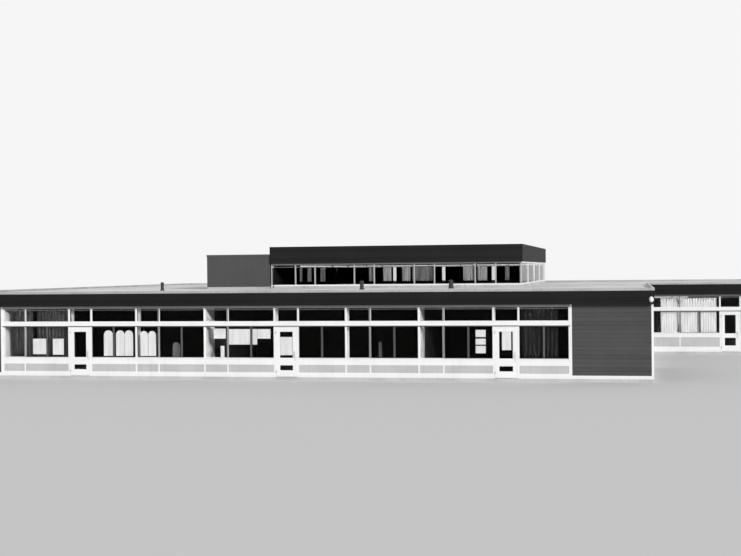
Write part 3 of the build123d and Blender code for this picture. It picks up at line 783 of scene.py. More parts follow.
# %% Boarded walls
BOARD_THICK, BOARD_PROUD, CHANNEL, ROUNDING, BUTT, LONGEST = 0.022, 0.012, 0.014, 0.003, 0.002, 4.3
POST, WALL, COVER_STRIP, STRIP_PROUD, SAME = 0.09, 0.1, 0.07, 0.006, 1e-6
# Each end of a run: how far it stays off the grid line, and the width of its cover strip.
AT_CORNER, AT_WINDOW, AT_WALL = (POST, 0.0), (HALF_MULLION, COVER_STRIP), (0.0, 0.0)


def board_ends(x0, x1, course):
    """Where the boards of a course meet, with every other course shifted by half a length."""
    count = max(1, math.ceil((x1 - x0) / LONGEST))
    shift = 0.5 if course % 2 and count > 1 else 0.0
    joints = [x0 + (n + shift) * (x1 - x0) / count for n in range(count) if n + shift > 0]
    return [x0] + joints + [x1]


def boards(x0, x1, z0, z1, courses, face_y=0.0, thick=BOARD_THICK, channel=CHANNEL):
    """A run of level boards between two ends, with their backing."""
    run = bmesh.new()
    height = (z1 - z0) / courses
    for course in range(courses):
        ends = board_ends(x0, x1, course)
        low = z0 + course * height
        top = z0 + (course + 1) * height - (channel if course < courses - 1 else 0.0)
        for a, b in zip(ends, ends[1:]):
            box(run, a, b - (BUTT if b < x1 else 0.0), face_y, face_y + BOARD_PROUD, low, top)
    front = edges_where(run, lambda vertex: abs(vertex.co.y - face_y) < SAME)
    level = [edge for edge in front if abs(edge.verts[0].co.z - edge.verts[1].co.z) < SAME]
    bevel(run, level, ROUNDING, 2)
    box(run, x0, x1, face_y + BOARD_PROUD, face_y + thick, z0, z1)
    return run


BOARDED = [
    (FRONT, MAIN_LEFT, AT_CORNER, FRONT_GROUP[0], AT_WINDOW),
    (FRONT, FRONT_GROUP[1], AT_WINDOW, MAIN_RIGHT, AT_CORNER),
    (WING, WING_GLASS_END, AT_WINDOW, WING_RIGHT, AT_CORNER),
    (REAR, -WING_RIGHT, AT_CORNER, REAR_GROUPS[0][0], AT_WINDOW),
    (REAR, REAR_GROUPS[0][1], AT_WINDOW, REAR_GROUPS[1][0], AT_WINDOW),
    (REAR, REAR_GROUPS[1][1], AT_WINDOW, -MAIN_LEFT, AT_CORNER),
    (LEFT, -DEPTH, AT_CORNER, LEFT_GROUP[0], AT_WINDOW),
    (LEFT, LEFT_GROUP[1], AT_WINDOW, 0, AT_CORNER),
    (RIGHT, 0, AT_CORNER, RIGHT_GROUP[0], AT_WINDOW),
    (RIGHT, RIGHT_GROUP[1], AT_WINDOW, WING_SETBACK, AT_WALL),
    (WING_END, WING_SETBACK, AT_CORNER, WING_END_GROUP[0], AT_WINDOW),
    (WING_END, WING_END_GROUP[1], AT_WINDOW, DEPTH, AT_CORNER),
]
cladding, cores, strips = bmesh.new(), bmesh.new(), bmesh.new()
for wall, first_line, at_start, last_line, at_end in BOARDED:
    start, end = grid(first_line) + at_start[0], grid(last_line) - at_end[0]
    boards_start, boards_end = start + at_start[1], end - at_end[1]
    join(cladding, boards(boards_start, boards_end, BOARDS_START, EAVES, WALL_COURSES), wall)
    core, strip = bmesh.new(), bmesh.new()
    box(core, start, end, BOARD_THICK, WALL, BOARDS_START, EAVES)
    for a, b in ((start, boards_start), (boards_end, end)):
        if a < b:
            box(strip, a, b, -STRIP_PROUD, BOARD_THICK, BOARDS_START, EAVES)
    join(cores, core, wall)
    join(strips, strip, wall)
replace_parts(finished("wall_boards", cladding, wall_boarding), "boarded_walls")
finished("wall_cores", cores, partition_paint)
finished("cover_strips", strips, joinery_white)

# %% [markdown]
# The deep edge of each roof is faced with level boards as well, four round the low roof and six round
# the hall, nearly black. The same function makes them. At the long sides they stand out past the wall,
# and at the ends they lie on it.

# %% Fascia boards
FRONT_REACH, FASCIA, HALL_FASCIA, FASCIA_CHANNEL = 0.254, 0.03, 0.04, 0.008
EAVES_EDGES = [
    (FRONT, grid(MAIN_LEFT) - FASCIA, grid(MAIN_RIGHT) + FASCIA, FRONT_REACH),
    (WING, grid(MAIN_RIGHT) + FASCIA, grid(WING_RIGHT) + FASCIA, FRONT_REACH),
    (REAR, grid(-WING_RIGHT) - FASCIA, grid(-MAIN_LEFT) + FASCIA, FRONT_REACH),
    (LEFT, grid(-DEPTH) - FRONT_REACH + FASCIA, FRONT_REACH - FASCIA, FASCIA),
    (RIGHT, FASCIA - FRONT_REACH, grid(WING_SETBACK) - FRONT_REACH + FASCIA, FASCIA),
    (WING_END, grid(WING_SETBACK) - FRONT_REACH + FASCIA, grid(DEPTH) + FRONT_REACH - FASCIA, FASCIA),
]
edge_boards = bmesh.new()
for wall, start, end, reach in EAVES_EDGES:
    run = boards(start, end, EAVES, ROOF, FASCIA_COURSES, -reach, FASCIA, FASCIA_CHANNEL)
    join(edge_boards, run, wall)
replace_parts(finished("fascia_boards", edge_boards, fascia_boarding), "fascia_long", "fascia_ends")

hall_low, hall_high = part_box("hall_fascia_long")
hall_length, hall_width = hall_high.x - hall_low.x, hall_high.y - hall_low.y
hall_edge = bmesh.new()
hall_sides = [(hall_length, hall_width), (hall_width - 2 * HALL_FASCIA, hall_length)] * 2
for turn, (along, out) in enumerate(hall_sides):
    run = boards(
        -along / 2, along / 2, hall_low.z, hall_high.z, HALL_COURSES, -out / 2, HALL_FASCIA, FASCIA_CHANNEL
    )
    join(hall_edge, run, wall_place((hall_low.x + hall_high.x) / 2, (hall_low.y + hall_high.y) / 2, turn))
hall_boarding = boarded("hall_boarding", 0.010, 0.018, (hall_high.z - hall_low.z) / HALL_COURSES, hall_low.z)
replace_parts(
    finished("hall_fascia_boards", hall_edge, hall_boarding), "hall_fascia_long", "hall_fascia_ends"
)

# %% [markdown]
# ## Windows
# The glass sits in rebates. Fixed panes are held by small white beads, and the two halves of a double
# light are slim steel casements, dark grey, that meet at the middle bar. A dark strip under the transom
# is painted shadow, for the shadow line that the transom casts on the heads of windows and doors.

# %% Beads, casements and painted shadow strip
PANE_FACE, MIDDLE_BAR = 0.045, 0.02
BEAD, BEAD_DEEP, SASH, SASH_DEEP = 0.012, 0.014, 0.018, 0.02
SHADOW_STRIP_PROUD, SHADOW_STRIP_DEEP = 0.004, 0.042


def ring(mesh, x0, x1, z0, z1, y0, y1, width):
    """Four bars round the inside of an opening."""
    box(mesh, x0, x0 + width, y0, y1, z0, z1)
    box(mesh, x1 - width, x1, y0, y1, z0, z1)
    box(mesh, x0 + width, x1 - width, y0, y1, z0, z0 + width)
    box(mesh, x0 + width, x1 - width, y0, y1, z1 - width, z1)


def in_every_light(draw):
    """One mesh of what a function draws in each light of each wall."""
    whole = bmesh.new()
    for wall, lights, cill in GLAZED:
        drawing = bmesh.new()
        for first, last, kind in lights:
            draw(drawing, grid(first) + HALF_MULLION, grid(last) - HALF_MULLION, cill, kind)
        join(whole, drawing, wall)
    return whole


def draw_beads(mesh, x0, x1, cill, kind):
    """Beads round the upper pane, and round the lower one where it is fixed."""
    ring(mesh, x0, x1, TRANSOM_TOP, HEAD_BOTTOM, PANE_FACE - BEAD_DEEP, PANE_FACE, BEAD)
    if kind == "single":
        ring(mesh, x0, x1, cill, TRANSOM_BOTTOM, PANE_FACE - BEAD_DEEP, PANE_FACE, BEAD)


def draw_sashes(mesh, x0, x1, cill, kind):
    """The two steel casements of a double light."""
    if kind == "double":
        middle = (x0 + x1) / 2
        for a, b in ((x0, middle - MIDDLE_BAR), (middle + MIDDLE_BAR, x1)):
            ring(mesh, a, b, cill, TRANSOM_BOTTOM, PANE_FACE - SASH_DEEP, PANE_FACE, SASH)


# This dark strip under the transom is painted shadow.
shadow_strip_mesh = bmesh.new()
for wall, lights, _ in GLAZED:
    strip = bmesh.new()
    start, end = grid(lights[0][0]) - HALF_MULLION, grid(lights[-1][1]) + HALF_MULLION
    box(strip, start, end, -SHADOW_STRIP_PROUD, 0.0, TRANSOM_BOTTOM - SHADOW_STRIP_DEEP, TRANSOM_BOTTOM)
    join(shadow_strip_mesh, strip, wall)
finished("glazing_beads", in_every_light(draw_beads), joinery_white)
finished("casement_sashes", in_every_light(draw_sashes), sash_grey)
finished("painted_shadow_strips", shadow_strip_mesh, sash_grey)

# %% [markdown]
# The picture shows the mullion inside a bay, between the single light and the casements, darker than the
# others below the transom. The likely reason is a grey metal flat screwed over the joint of two frame
# sections, so that is what is made here, with a row of small screw heads. It stops at the transom and
# the cill, goes on in the upper lights, and is left off beside doors.

# %% Cover flats
FLAT_WIDE, FLAT_PROUD, FLAT_ROUNDING, FLAT_GAP = 0.054, 0.003, 0.001, 0.05
SCREW_RADIUS, SCREW_PROUD, SCREW_SIDES, SCREW_MARGIN, SCREWS_EVERY = 0.005, 0.0015, 8, 0.04, 0.3


def draw_flats(mesh, x0, x1, cill, kind):
    """A flat over the mullion beside a single light, below and above the transom."""
    if kind != "single":
        return
    x = x1 + HALF_MULLION
    for z0, z1 in ((cill, TRANSOM_BOTTOM - FLAT_GAP), (TRANSOM_TOP, HEAD_BOTTOM)):
        bar = box(mesh, x - FLAT_WIDE / 2, x + FLAT_WIDE / 2, -FLAT_PROUD, 0.0, z0, z1)
        front = edges_where(mesh, lambda vertex: vertex in bar and vertex.co.y < -FLAT_PROUD / 2)
        bevel(mesh, front, FLAT_ROUNDING)
        for z in spaced(z0, z1, SCREW_MARGIN, max(2, round((z1 - z0) / SCREWS_EVERY) + 1)):
            place = Matrix.Translation((x, -FLAT_PROUD - SCREW_PROUD / 2, z)) @ OUTWARD
            round_bar(mesh, place, SCREW_PROUD, SCREW_RADIUS, SCREW_RADIUS / 2, SCREW_SIDES)


flat_paint = painted("flat_paint", 0.22, 0.14, 0.3, 0.2, 0.4, splash_top=0.0)
finished("cover_flats", in_every_light(draw_flats), flat_paint)

# %% [markdown]
# Each casement turns on two small butt hinges at its outer stile and is held by a lever catch on the
# middle bar inside. The knuckles are short upright cylinders made with the cone operator, which gives a
# cylinder when both its radii are the same.

# %% Casement hinges and catches
KNUCKLE, KNUCKLE_LONG, KNUCKLE_SIDES, HINGE_IN = 0.0055, 0.064, 12, 0.16
CATCH_OFF, CATCH_HALF, CATCH_UP, CATCH_FRONT, CATCH_BACK = 0.011, 0.007, 0.02, 0.075, 0.087
LEVER_HALF, LEVER_DOWN, LEVER_UP, LEVER_BACK, LEVER_ROUNDING = 0.005, 0.09, 0.012, 0.095, 0.002


def draw_fittings(mesh, x0, x1, cill, kind):
    """Hinges on both outer stiles of a double light, and a catch on each side of its middle bar."""
    if kind != "double":
        return
    for x in (x0 + KNUCKLE, x1 - KNUCKLE):
        for z in (cill + HINGE_IN, TRANSOM_BOTTOM - HINGE_IN):
            place = Matrix.Translation((x, PANE_FACE - SASH_DEEP - KNUCKLE, z))
            round_bar(mesh, place, KNUCKLE_LONG, KNUCKLE, KNUCKLE, KNUCKLE_SIDES)
    middle, z = (x0 + x1) / 2, (cill + TRANSOM_BOTTOM) / 2
    for x in (middle - CATCH_OFF, middle + CATCH_OFF):
        box(mesh, x - CATCH_HALF, x + CATCH_HALF, CATCH_FRONT, CATCH_BACK, z - CATCH_UP, z + CATCH_UP)
        levels = (z - LEVER_DOWN, z + LEVER_UP)
        lever = box(mesh, x - LEVER_HALF, x + LEVER_HALF, CATCH_BACK, LEVER_BACK, *levels)
        bevel(mesh, edges_where(mesh, lambda vertex: vertex in lever), LEVER_ROUNDING)


finished("casement_fittings", in_every_light(draw_fittings), satin_metal)

# %% [markdown]
# ## Doors
# A door's glass is held by beads on both faces. Outside there is a lock rose under the pull handle and a
# weather bar at the foot, and a metal threshold lies on the slab below it. What belongs to the leaf rides
# on the door's own body, so it swings with it.

# %% Door details
LEAF_WIDTH, GLASS_WIDTH, FOOT_GAP, HEAD_GAP = 0.896, 0.57, 0.008, 0.005
DOOR_BEAD, DOOR_BEAD_FACES = 0.011, ((0.009, 0.019), (0.025, 0.035))
BAR_FROM_HINGE, BAR_FROM_EDGE, BAR_PROUD, BAR_UP, BAR_HIGH, BAR_NOSE = 0.06, 0.02, 0.02, 0.02, 0.04, 0.012
ROSE_X, ROSE_Z, ROSE_PROUD, ROSE_BACK, ROSE_FRONT, ROSE_SIDES = 0.3665, 0.84, 0.006, 0.024, 0.020, 20
SILL_PROUD, SILL_THICK = 0.012, 0.0025
# From the foot up: the foot rail, the lower pane and the lock rail. The head rail comes last.
CLASSROOM_RAILS, WING_RAILS = (0.267, 0.230, 0.290, 0.165), (0.307, 0.420, 0.210, 0.145)
DOORS = [(name, FRONT, line, CLASSROOM_RAILS) for name, line in zip(doors, DOOR_LINES)]
DOORS.append(("wing", WING, WING_GRID + BAY, WING_RAILS))
bottom, top = SLAB_TOP + FOOT_GAP, DOOR_HEAD - HEAD_GAP
bar_low, bar_top = bottom + BAR_UP, bottom + BAR_UP + BAR_HIGH
half_door = grid(0.5) - HALF_MULLION
thresholds = bmesh.new()
for name, wall, line, (foot_rail, low_pane, lock_rail, head_rail) in DOORS:
    here = wall @ Matrix.Translation((grid(line + 0.5), 0, 0))
    lower = bottom + foot_rail
    trim, rose, sill = bmesh.new(), bmesh.new(), bmesh.new()
    for z0, z1 in ((lower, lower + low_pane), (lower + low_pane + lock_rail, top - head_rail)):
        for y0, y1 in DOOR_BEAD_FACES:
            ring(trim, -GLASS_WIDTH / 2, GLASS_WIDTH / 2, z0, z1, y0, y1, DOOR_BEAD)
    bar_ends = (BAR_FROM_HINGE - LEAF_WIDTH / 2, LEAF_WIDTH / 2 - BAR_FROM_EDGE)
    bar = box(trim, *bar_ends, -BAR_PROUD, 0.0, bar_low, bar_top)
    front = edges_where(trim, lambda vertex: vertex in bar and vertex.co.y < -BAR_PROUD / 2)
    nose = [edge for edge in front if min(vertex.co.z for vertex in edge.verts) > bar_low + BAR_HIGH / 2]
    bevel(trim, nose, BAR_NOSE, 2)
    finished("door_%s_beads" % name, trim, joinery_white, "door_" + name, place=here)
    place = Matrix.Translation((ROSE_X, -ROSE_PROUD / 2, ROSE_Z)) @ OUTWARD
    round_bar(rose, place, ROSE_PROUD, ROSE_BACK, ROSE_FRONT, ROSE_SIDES)
    finished("door_%s_lock" % name, rose, satin_metal, "door_" + name, place=here)
    box(sill, -half_door, half_door, -SILL_PROUD, WALL, SLAB_TOP, SLAB_TOP + SILL_THICK)
    join(thresholds, sill, here)
finished("thresholds", thresholds, satin_metal)

# %% [markdown]
# ## Curtains
# Plain cotton curtains hang on slim channels behind the glass. A curtain is one sheet: a fine grid whose
# columns swing in and out, least at the track and most at the hem, with the spacing of the folds drifting
# a little so that they do not look stamped. Solidify then gives the cloth its thickness. A shallow weave
# and soft darker lines down the folds are in the material.

# %% Group and material: cotton
weave_group, given, last = group(
    "plain_weave",
    [
        ("Colour", "NodeSocketColor", grey(0.8)),
        ("Shade", "NodeSocketColor", grey(0.6)),
        ("Threads", "NodeSocketFloat", 900.0),
    ],
    [("Colour", "NodeSocketColor"), ("Height", "NodeSocketFloat")],
)
SHADE_STRETCH = (7.0, 7.0, 0.8)
coordinates, position = object_position(weave_group)
across = math_node(weave_group, "ADD", position["X"], position["Y"])
warp, weft = [
    math_node(weave_group, "SINE", math_node(weave_group, "MULTIPLY", way, given["Threads"]))
    for way in (across, position["Z"])
]
soft = noise(weave_group, coordinates, scale=1.0, detail=3.0, stretch=SHADE_STRETCH)
soft = ramp(weave_group, soft, 0.35, 0.75)
hand_out(
    weave_group, last,
    Colour=mix_colour(weave_group, soft, given["Colour"], given["Shade"]),
    Height=math_node(weave_group, "MULTIPLY", warp, weft),
)


def cotton(name, colour, shade):
    """Matt woven cloth."""
    made, tree, shader = material(name)
    node = place_group(tree, weave_group, Colour=grey(colour), Shade=grey(shade))
    tree.links.new(node.outputs["Colour"], shader.inputs["Base Color"])
    set_inputs(shader, Roughness=0.95, Specular_IOR_Level=0.1)
    bump(tree, shader, node.outputs["Height"], 0.3, 0.0003)
    return made


white_cotton = cotton("white_cotton", 0.82, 0.72)
hall_cotton = cotton("hall_cotton", 0.46, 0.24)
grey_cotton = cotton("grey_cotton", 0.24, 0.10)
dim_cotton = cotton("dim_cotton", 0.055, 0.025)
# Near-black cloth, hung as painted shade behind glass that reads dark.
near_black_shade_cotton = cotton("near_black_shade_cotton", 0.018, 0.010)
print("group", weave_group.name)

# %% [markdown]
# A track is bent from sheet metal: a top and two sides with an open slot below, where the gliders run.
# Small angle brackets reach back from it to the frame. The hall has its own tracks behind its high windows.

# %% Curtain tracks
TRACK_LOW, HALL_TRACK_LOW, TRACK_HIGH, TRACK_Y = 2.93, 4.715, 0.025, 0.125
TRACK_WIDE, TRACK_SHEET, TRACK_END, HALL_TRACK_END = 0.022, 0.003, 0.06, 0.14
BRACKETS_EVERY, BRACKET_MARGIN, BRACKET_HALF, BRACKET_THICK, BRACKET_RISE = 0.9, 0.04, 0.01, 0.004, 0.09
HALL = wall_place(gx(0), gy(HALL_FRONT))
HALL_REAR = wall_place(gx(0), gy(HALL_BACK), 2)
HALL_SIDE = wall_place(gx(HALL_LEFT), gy(0), -1)
HALL_SUNNY_SIDE = wall_place(gx(HALL_RIGHT), gy(0), 1)
HALL_RUNS = [
    (HALL, HALL_LEFT, HALL_RIGHT), (HALL_REAR, -HALL_RIGHT, -HALL_LEFT),
    (HALL_SIDE, -HALL_BACK, -HALL_FRONT), (HALL_SUNNY_SIDE, HALL_FRONT, HALL_BACK),
]


def track(mesh, x0, x1, low):
    """A channel with a slot below, on brackets that reach back to the frame."""
    front, back, high = TRACK_Y - TRACK_WIDE / 2, TRACK_Y + TRACK_WIDE / 2, low + TRACK_HIGH
    box(mesh, x0, x1, front, back, high - TRACK_SHEET, high)
    box(mesh, x0, x1, front, front + TRACK_SHEET, low, high - TRACK_SHEET)
    box(mesh, x0, x1, back - TRACK_SHEET, back, low, high - TRACK_SHEET)
    count = max(2, math.ceil((x1 - x0) / BRACKETS_EVERY) + 1)
    for x in spaced(x0, x1, BRACKET_MARGIN, count):
        ends, foot = (x - BRACKET_HALF, x + BRACKET_HALF), high + BRACKET_THICK
        box(mesh, *ends, WALL, back, high, foot)
        box(mesh, *ends, WALL, WALL + BRACKET_THICK, foot, high + BRACKET_RISE)


tracks = bmesh.new()
for wall, lights, _ in GLAZED:
    run = bmesh.new()
    for first, last_line, _ in lights:
        track(run, grid(first) + TRACK_END, grid(last_line) - TRACK_END, TRACK_LOW)
    join(tracks, run, wall)
for wall, start, end in HALL_RUNS:
    run = bmesh.new()
    track(run, grid(start) + HALL_TRACK_END, grid(end) - HALL_TRACK_END, HALL_TRACK_LOW)
    join(tracks, run, wall)
finished("curtain_tracks", tracks, painted("track_paint", 0.30, 0.2, 0.2, 0.1, 0.5))

# %% [markdown]
# Every curtain is cut wider than its opening and gathered, so the length of cloth in it is measured along
# its folds. The hall's front shows pale and grey ones here and there. Near-black ones all along its other
# sides are a guess and are painted shade: they keep its glass as dark as in the picture.

# %% Curtains
SLOW_DRIFT, SLOW_RATE, QUICK_DRIFT, QUICK_RATE = 0.9, 2.3, 0.5, 6.1
CLOTH_THICK, COLUMNS_PER_FOLD, FEWEST_COLUMNS, CLOTH_ROWS, GATHERED = 0.0016, 9, 10, 7, 0.45
WING_HEM, FRONT_HEM, HALL_HEM, BACK_HEM, SUNNY_HEM = 0.95, 0.96, 3.99, 3.70, 3.72
HALL_FOLD, HALL_BACK_FOLD = (0.10, 0.018), (0.16, 0.025)


def curtain(name, wall, x0, x1, z0, z1, fold, depth, finish, phase):
    """A gathered cloth between two ends, hung just under its track."""
    width, height = x1 - x0, z1 - z0
    cloth = bmesh.new()
    columns = max(FEWEST_COLUMNS, round(width / fold * COLUMNS_PER_FOLD))
    bmesh.ops.create_grid(cloth, x_segments=columns, y_segments=CLOTH_ROWS, size=0.5)
    for vertex in cloth.verts:
        along, up = (vertex.co.x + 0.5) * width, vertex.co.y + 0.5
        drift = SLOW_DRIFT * math.sin(SLOW_RATE * along + phase)
        drift += QUICK_DRIFT * math.sin(QUICK_RATE * along + 2 * phase) * (1 - up)
        swing = depth * (1.0 - GATHERED * up) * math.sin(2 * math.pi * along / fold + drift)
        vertex.co = (x0 + along, TRACK_Y + swing, z0 + up * height)
    area = sum(face.calc_area() for face in cloth.faces)
    bmesh.ops.solidify(cloth, geom=cloth.faces[:], thickness=CLOTH_THICK)
    piece = finished(name, cloth, finish, smooth=True, place=wall)
    print(name, "cut", round(area / height, 2), "m wide for", round(width, 2), "m")


# Each with its two ends, the hem, the track, the width and depth of a fold, the cloth and the phase.
curtain("wing_curtain_left", WING, 4.02, 4.90, WING_HEM, TRACK_LOW, 0.12, 0.011, white_cotton, 0.4)
curtain("wing_curtain_right", WING, 5.05, 6.84, WING_HEM, TRACK_LOW, 0.13, 0.011, white_cotton, 1.9)
HALL_CURTAINS = [
    (-9.72, -9.31, hall_cotton), (-8.76, -8.35, hall_cotton), (-8.25, -7.19, grey_cotton),
    (-5.69, -5.09, hall_cotton), (-4.97, -4.50, hall_cotton), (-3.61, -3.41, grey_cotton),
    (-14.02, -13.90, grey_cotton), (-13.62, -13.42, grey_cotton), (-12.95, -12.70, grey_cotton),
    (-10.45, -10.15, grey_cotton),
]
for number, (x0, x1, finish) in enumerate(HALL_CURTAINS, 1):
    name = "hall_curtain_%d" % number
    curtain(name, HALL, x0, x1, HALL_HEM, HALL_TRACK_LOW, *HALL_FOLD, finish, number * 0.7)
# A row each: its wall, how many, where the first starts, their pitch, the gap, the hem and the phase.
# The dark rows on the hall's other sides are painted shade.
HALL_ROWS = [
    ("hall_dark_shade_curtain", HALL_REAR, 4, grid(-HALL_RIGHT) + 0.16, 3.125, 0.2, BACK_HEM, near_black_shade_cotton, 1.1),
    ("hall_side_curtain", HALL_SIDE, 5, grid(-HALL_BACK) + 0.16, 3.7, 0.1, BACK_HEM, near_black_shade_cotton, 1.3),
    ("hall_sunny_curtain", HALL_SUNNY_SIDE, 5, grid(HALL_FRONT) + 0.3, 3.65, 0.5, SUNNY_HEM, dim_cotton, 0.9),
]
for row, wall, count, start, pitch, gap, hem, finish, phase in HALL_ROWS:
    for number in range(count):
        x0 = start + number * grid(pitch)
        name, x1 = "%s_%d" % (row, number + 1), x0 + grid(pitch) - gap
        curtain(name, wall, x0, x1, hem, HALL_TRACK_LOW, *HALL_BACK_FOLD, finish, number * phase)
# The near-black cloth in this wing curtain and in the last front one is painted shade.
curtain("wing_dark_shade_curtain", WING, 3.38, 4.00, WING_HEM, TRACK_LOW, 0.15, 0.018, near_black_shade_cotton, 0.8)
curtain("front_curtain_left", FRONT, -23.90, -23.05, FRONT_HEM, TRACK_LOW, 0.14, 0.022, dim_cotton, 0.3)
curtain("front_curtain_next", FRONT, -22.86, -21.42, FRONT_HEM, TRACK_LOW, 0.15, 0.022, dim_cotton, 1.3)
curtain("front_curtain_right", FRONT, -1.90, -0.45, FRONT_HEM, TRACK_LOW, 0.17, 0.022, near_black_shade_cotton, 2.3)

# %% [markdown]
# ## Sheets of paper
# Plain sheets of paper are fixed to the inside of the classroom glass, square ones and a row with round
# tops, and two hang on the glass of the doors. Each is one face with its own outline. The round top comes
# from a bevel of the two upper corners with a radius of half the width. Solidify gives the thickness.

# %% Papers
PAPER_THICK, WINDOW_FACE, DOOR_FACE, ARCH_SEGMENTS, ARCH_SHARE = 0.0006, 0.0525, 0.0272, 8, 0.499
# The two ends and the foot and head of each sheet, in metres, on the front's drawing.
SQUARE_PAPERS = [
    (-23.02, -22.39, 1.05, 1.72), (-22.10, -21.60, 1.03, 1.72), (-14.85, -14.32, 1.73, 2.15),
    (-14.19, -13.235, 1.48, 2.13), (-13.15, -12.95, 1.48, 2.13), (-12.94, -12.37, 1.73, 2.13),
    (-3.77, -3.36, 1.80, 2.09), (-3.77, -3.36, 1.49, 1.73), (-3.77, -3.36, 1.14, 1.44),
    (-14.55, -14.38, 0.95, 1.42),
]
ARCHED_PAPERS = [
    (-19.76, -19.34, 0.99, 2.08), (-19.21, -18.825, 0.99, 2.08), (-18.815, -18.44, 0.99, 2.08),
    (-18.11, -17.77, 0.99, 2.05), (-17.755, -17.41, 0.99, 2.05),
]


def paper(mesh, x0, x1, z0, z1, y, arched):
    """One sheet, as a single face turned upright, given its outline and then its thickness."""
    sheet = bmesh.new()
    bmesh.ops.create_grid(sheet, x_segments=1, y_segments=1, size=0.5)
    bmesh.ops.scale(sheet, vec=(x1 - x0, z1 - z0, 1), verts=sheet.verts)
    if arched:
        top = [vertex for vertex in sheet.verts if vertex.co.y > 0]
        bmesh.ops.bevel(
            sheet, geom=top, offset=(x1 - x0) * ARCH_SHARE, affect="VERTICES", segments=ARCH_SEGMENTS,
            profile=0.5, material=-1,
        )
    bmesh.ops.solidify(sheet, geom=sheet.faces[:], thickness=PAPER_THICK)
    join(mesh, sheet, Matrix.Translation(((x0 + x1) / 2, y, (z0 + z1) / 2)) @ OUTWARD)


def hang(name, finish, squares, arches=(), y=WINDOW_FACE, body="building"):
    """One piece of several sheets behind the front's glass."""
    sheets = bmesh.new()
    for corners in squares:
        paper(sheets, *corners, y, False)
    for corners in arches:
        paper(sheets, *corners, y, True)
    finished(name, sheets, finish, body, place=FRONT)


plain_paper = cotton("plain_paper", 0.80, 0.70)
grey_paper = cotton("grey_paper", 0.12, 0.05)
hang("window_papers", plain_paper, SQUARE_PAPERS, ARCHED_PAPERS)
hang("grey_papers", grey_paper, [(-7.765, -7.645, 0.95, 1.59)], [(-16.67, -16.34, 0.95, 1.57)])
hang("door_middle_paper", plain_paper, [(-11.95, -11.42, 1.04, 1.80)], y=DOOR_FACE, body="door_middle")
hang("door_right_paper", plain_paper, [(-2.70, -2.33, 1.27, 2.02)], y=DOOR_FACE, body="door_right")

# %% [markdown]
# ## The corner lamp
# A bulkhead lamp sits on the fascia near the right-hand corner: an oval enamelled back plate, a rim and
# an opal glass bowl. A curve spun round the lamp's axis gives the bowl, and a scale makes it oval.

# %% Corner lamp
lamp_low, lamp_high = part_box("corner_lamp")
LAMP_REACH = lamp_high.y - lamp_low.y
OVAL = Matrix.Diagonal((0.90, 1.0, 1.16, 1.0))
BOWL_RADIUS, BOWL_FOOT, BOWL_SPRING, BOWL_SHORT, BOWL_STEPS, LAMP_SIDES = 0.084, 0.030, 0.034, 0.002, 8, 32
PLATE_PROFILE = [
    (0, 0), (0.100, 0), (0.100, 0.012), (0.096, 0.018), (0.090, 0.020), (0.086, BOWL_SPRING), (0, BOWL_SPRING)
]


def spun(profile):
    """A closed turning from (radius, distance) points, with its axis along Y."""
    turned = bmesh.new()
    points = [turned.verts.new((radius, -away, 0)) for radius, away in profile]
    edges = [turned.edges.new(pair) for pair in zip(points, points[1:])]
    bmesh.ops.spin(
        turned, geom=points + edges, cent=(0, 0, 0), axis=(0, 1, 0), angle=2 * math.pi, steps=LAMP_SIDES,
        use_merge=True,
    )
    bmesh.ops.remove_doubles(turned, verts=turned.verts, dist=1e-5)
    return turned


bowl_profile = [(0, BOWL_FOOT), (BOWL_RADIUS, BOWL_FOOT)]
for step in range(BOWL_STEPS + 1):
    angle = step * math.pi / 2 / BOWL_STEPS
    away = BOWL_SPRING + (LAMP_REACH - BOWL_SPRING - BOWL_SHORT) * math.sin(angle)
    bowl_profile.append((BOWL_RADIUS * math.cos(angle), away))
opal, _, opal_shader = material("opal_glass")
set_inputs(opal_shader, Base_Color=grey(0.88), Roughness=0.12, Coat_Weight=0.4, Subsurface_Weight=0.15)
lamp_middle = ((lamp_low.x + lamp_high.x) / 2, lamp_high.y, (lamp_low.z + lamp_high.z) / 2)
place = Matrix.Translation(lamp_middle) @ OVAL
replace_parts(finished("lamp_back_plate", spun(PLATE_PROFILE), lamp_enamel, place=place), "corner_lamp")
finished("lamp_bowl", spun(bowl_profile), opal, smooth=True, place=place)

# %% [markdown]
# ## On the roof
# Where a vent pipe comes through the roof a metal collar sheds the water, and a clamp holds its cap. The
# collar is a cone and the clamp a short ring with its two rims rounded.

# %% Vent collars and clamps
COLLAR_FOOT, COLLAR_HEAD, COLLAR_HIGH = 0.045, 0.004, 0.06
CLAMP_WIDER, CLAMP_HIGH, CLAMP_LEVEL, CLAMP_ROUNDING = 0.006, 0.03, 0.32, 0.003
VENT_SIDES, SHARP = 32, 1.0
# The grid lines of each pipe across and back from the front, and its radius.
VENTS = [(-19.5, 7.4, 0.075), (-9.7, 6.9, 0.090), (-5.75, 8.2, 0.105)]
vent_metal = bmesh.new()
for k, j, radius in VENTS:
    foot = Matrix.Translation((gx(k), gy(j), ROOF))
    collar, clamp = bmesh.new(), bmesh.new()
    place = Matrix.Translation((0, 0, COLLAR_HIGH / 2))
    round_bar(collar, place, COLLAR_HIGH, radius + COLLAR_FOOT, radius + COLLAR_HEAD, VENT_SIDES)
    place = Matrix.Translation((0, 0, CLAMP_LEVEL))
    round_bar(clamp, place, CLAMP_HIGH, radius + CLAMP_WIDER, radius + CLAMP_WIDER, VENT_SIDES)
    rims = [edge for edge in clamp.edges if len(edge.link_faces) == 2 and edge.calc_face_angle() > SHARP]
    bevel(clamp, rims, CLAMP_ROUNDING, 2)
    join(vent_metal, collar, foot)
    join(vent_metal, clamp, foot)
finished("vent_collars", vent_metal, vent_paint)

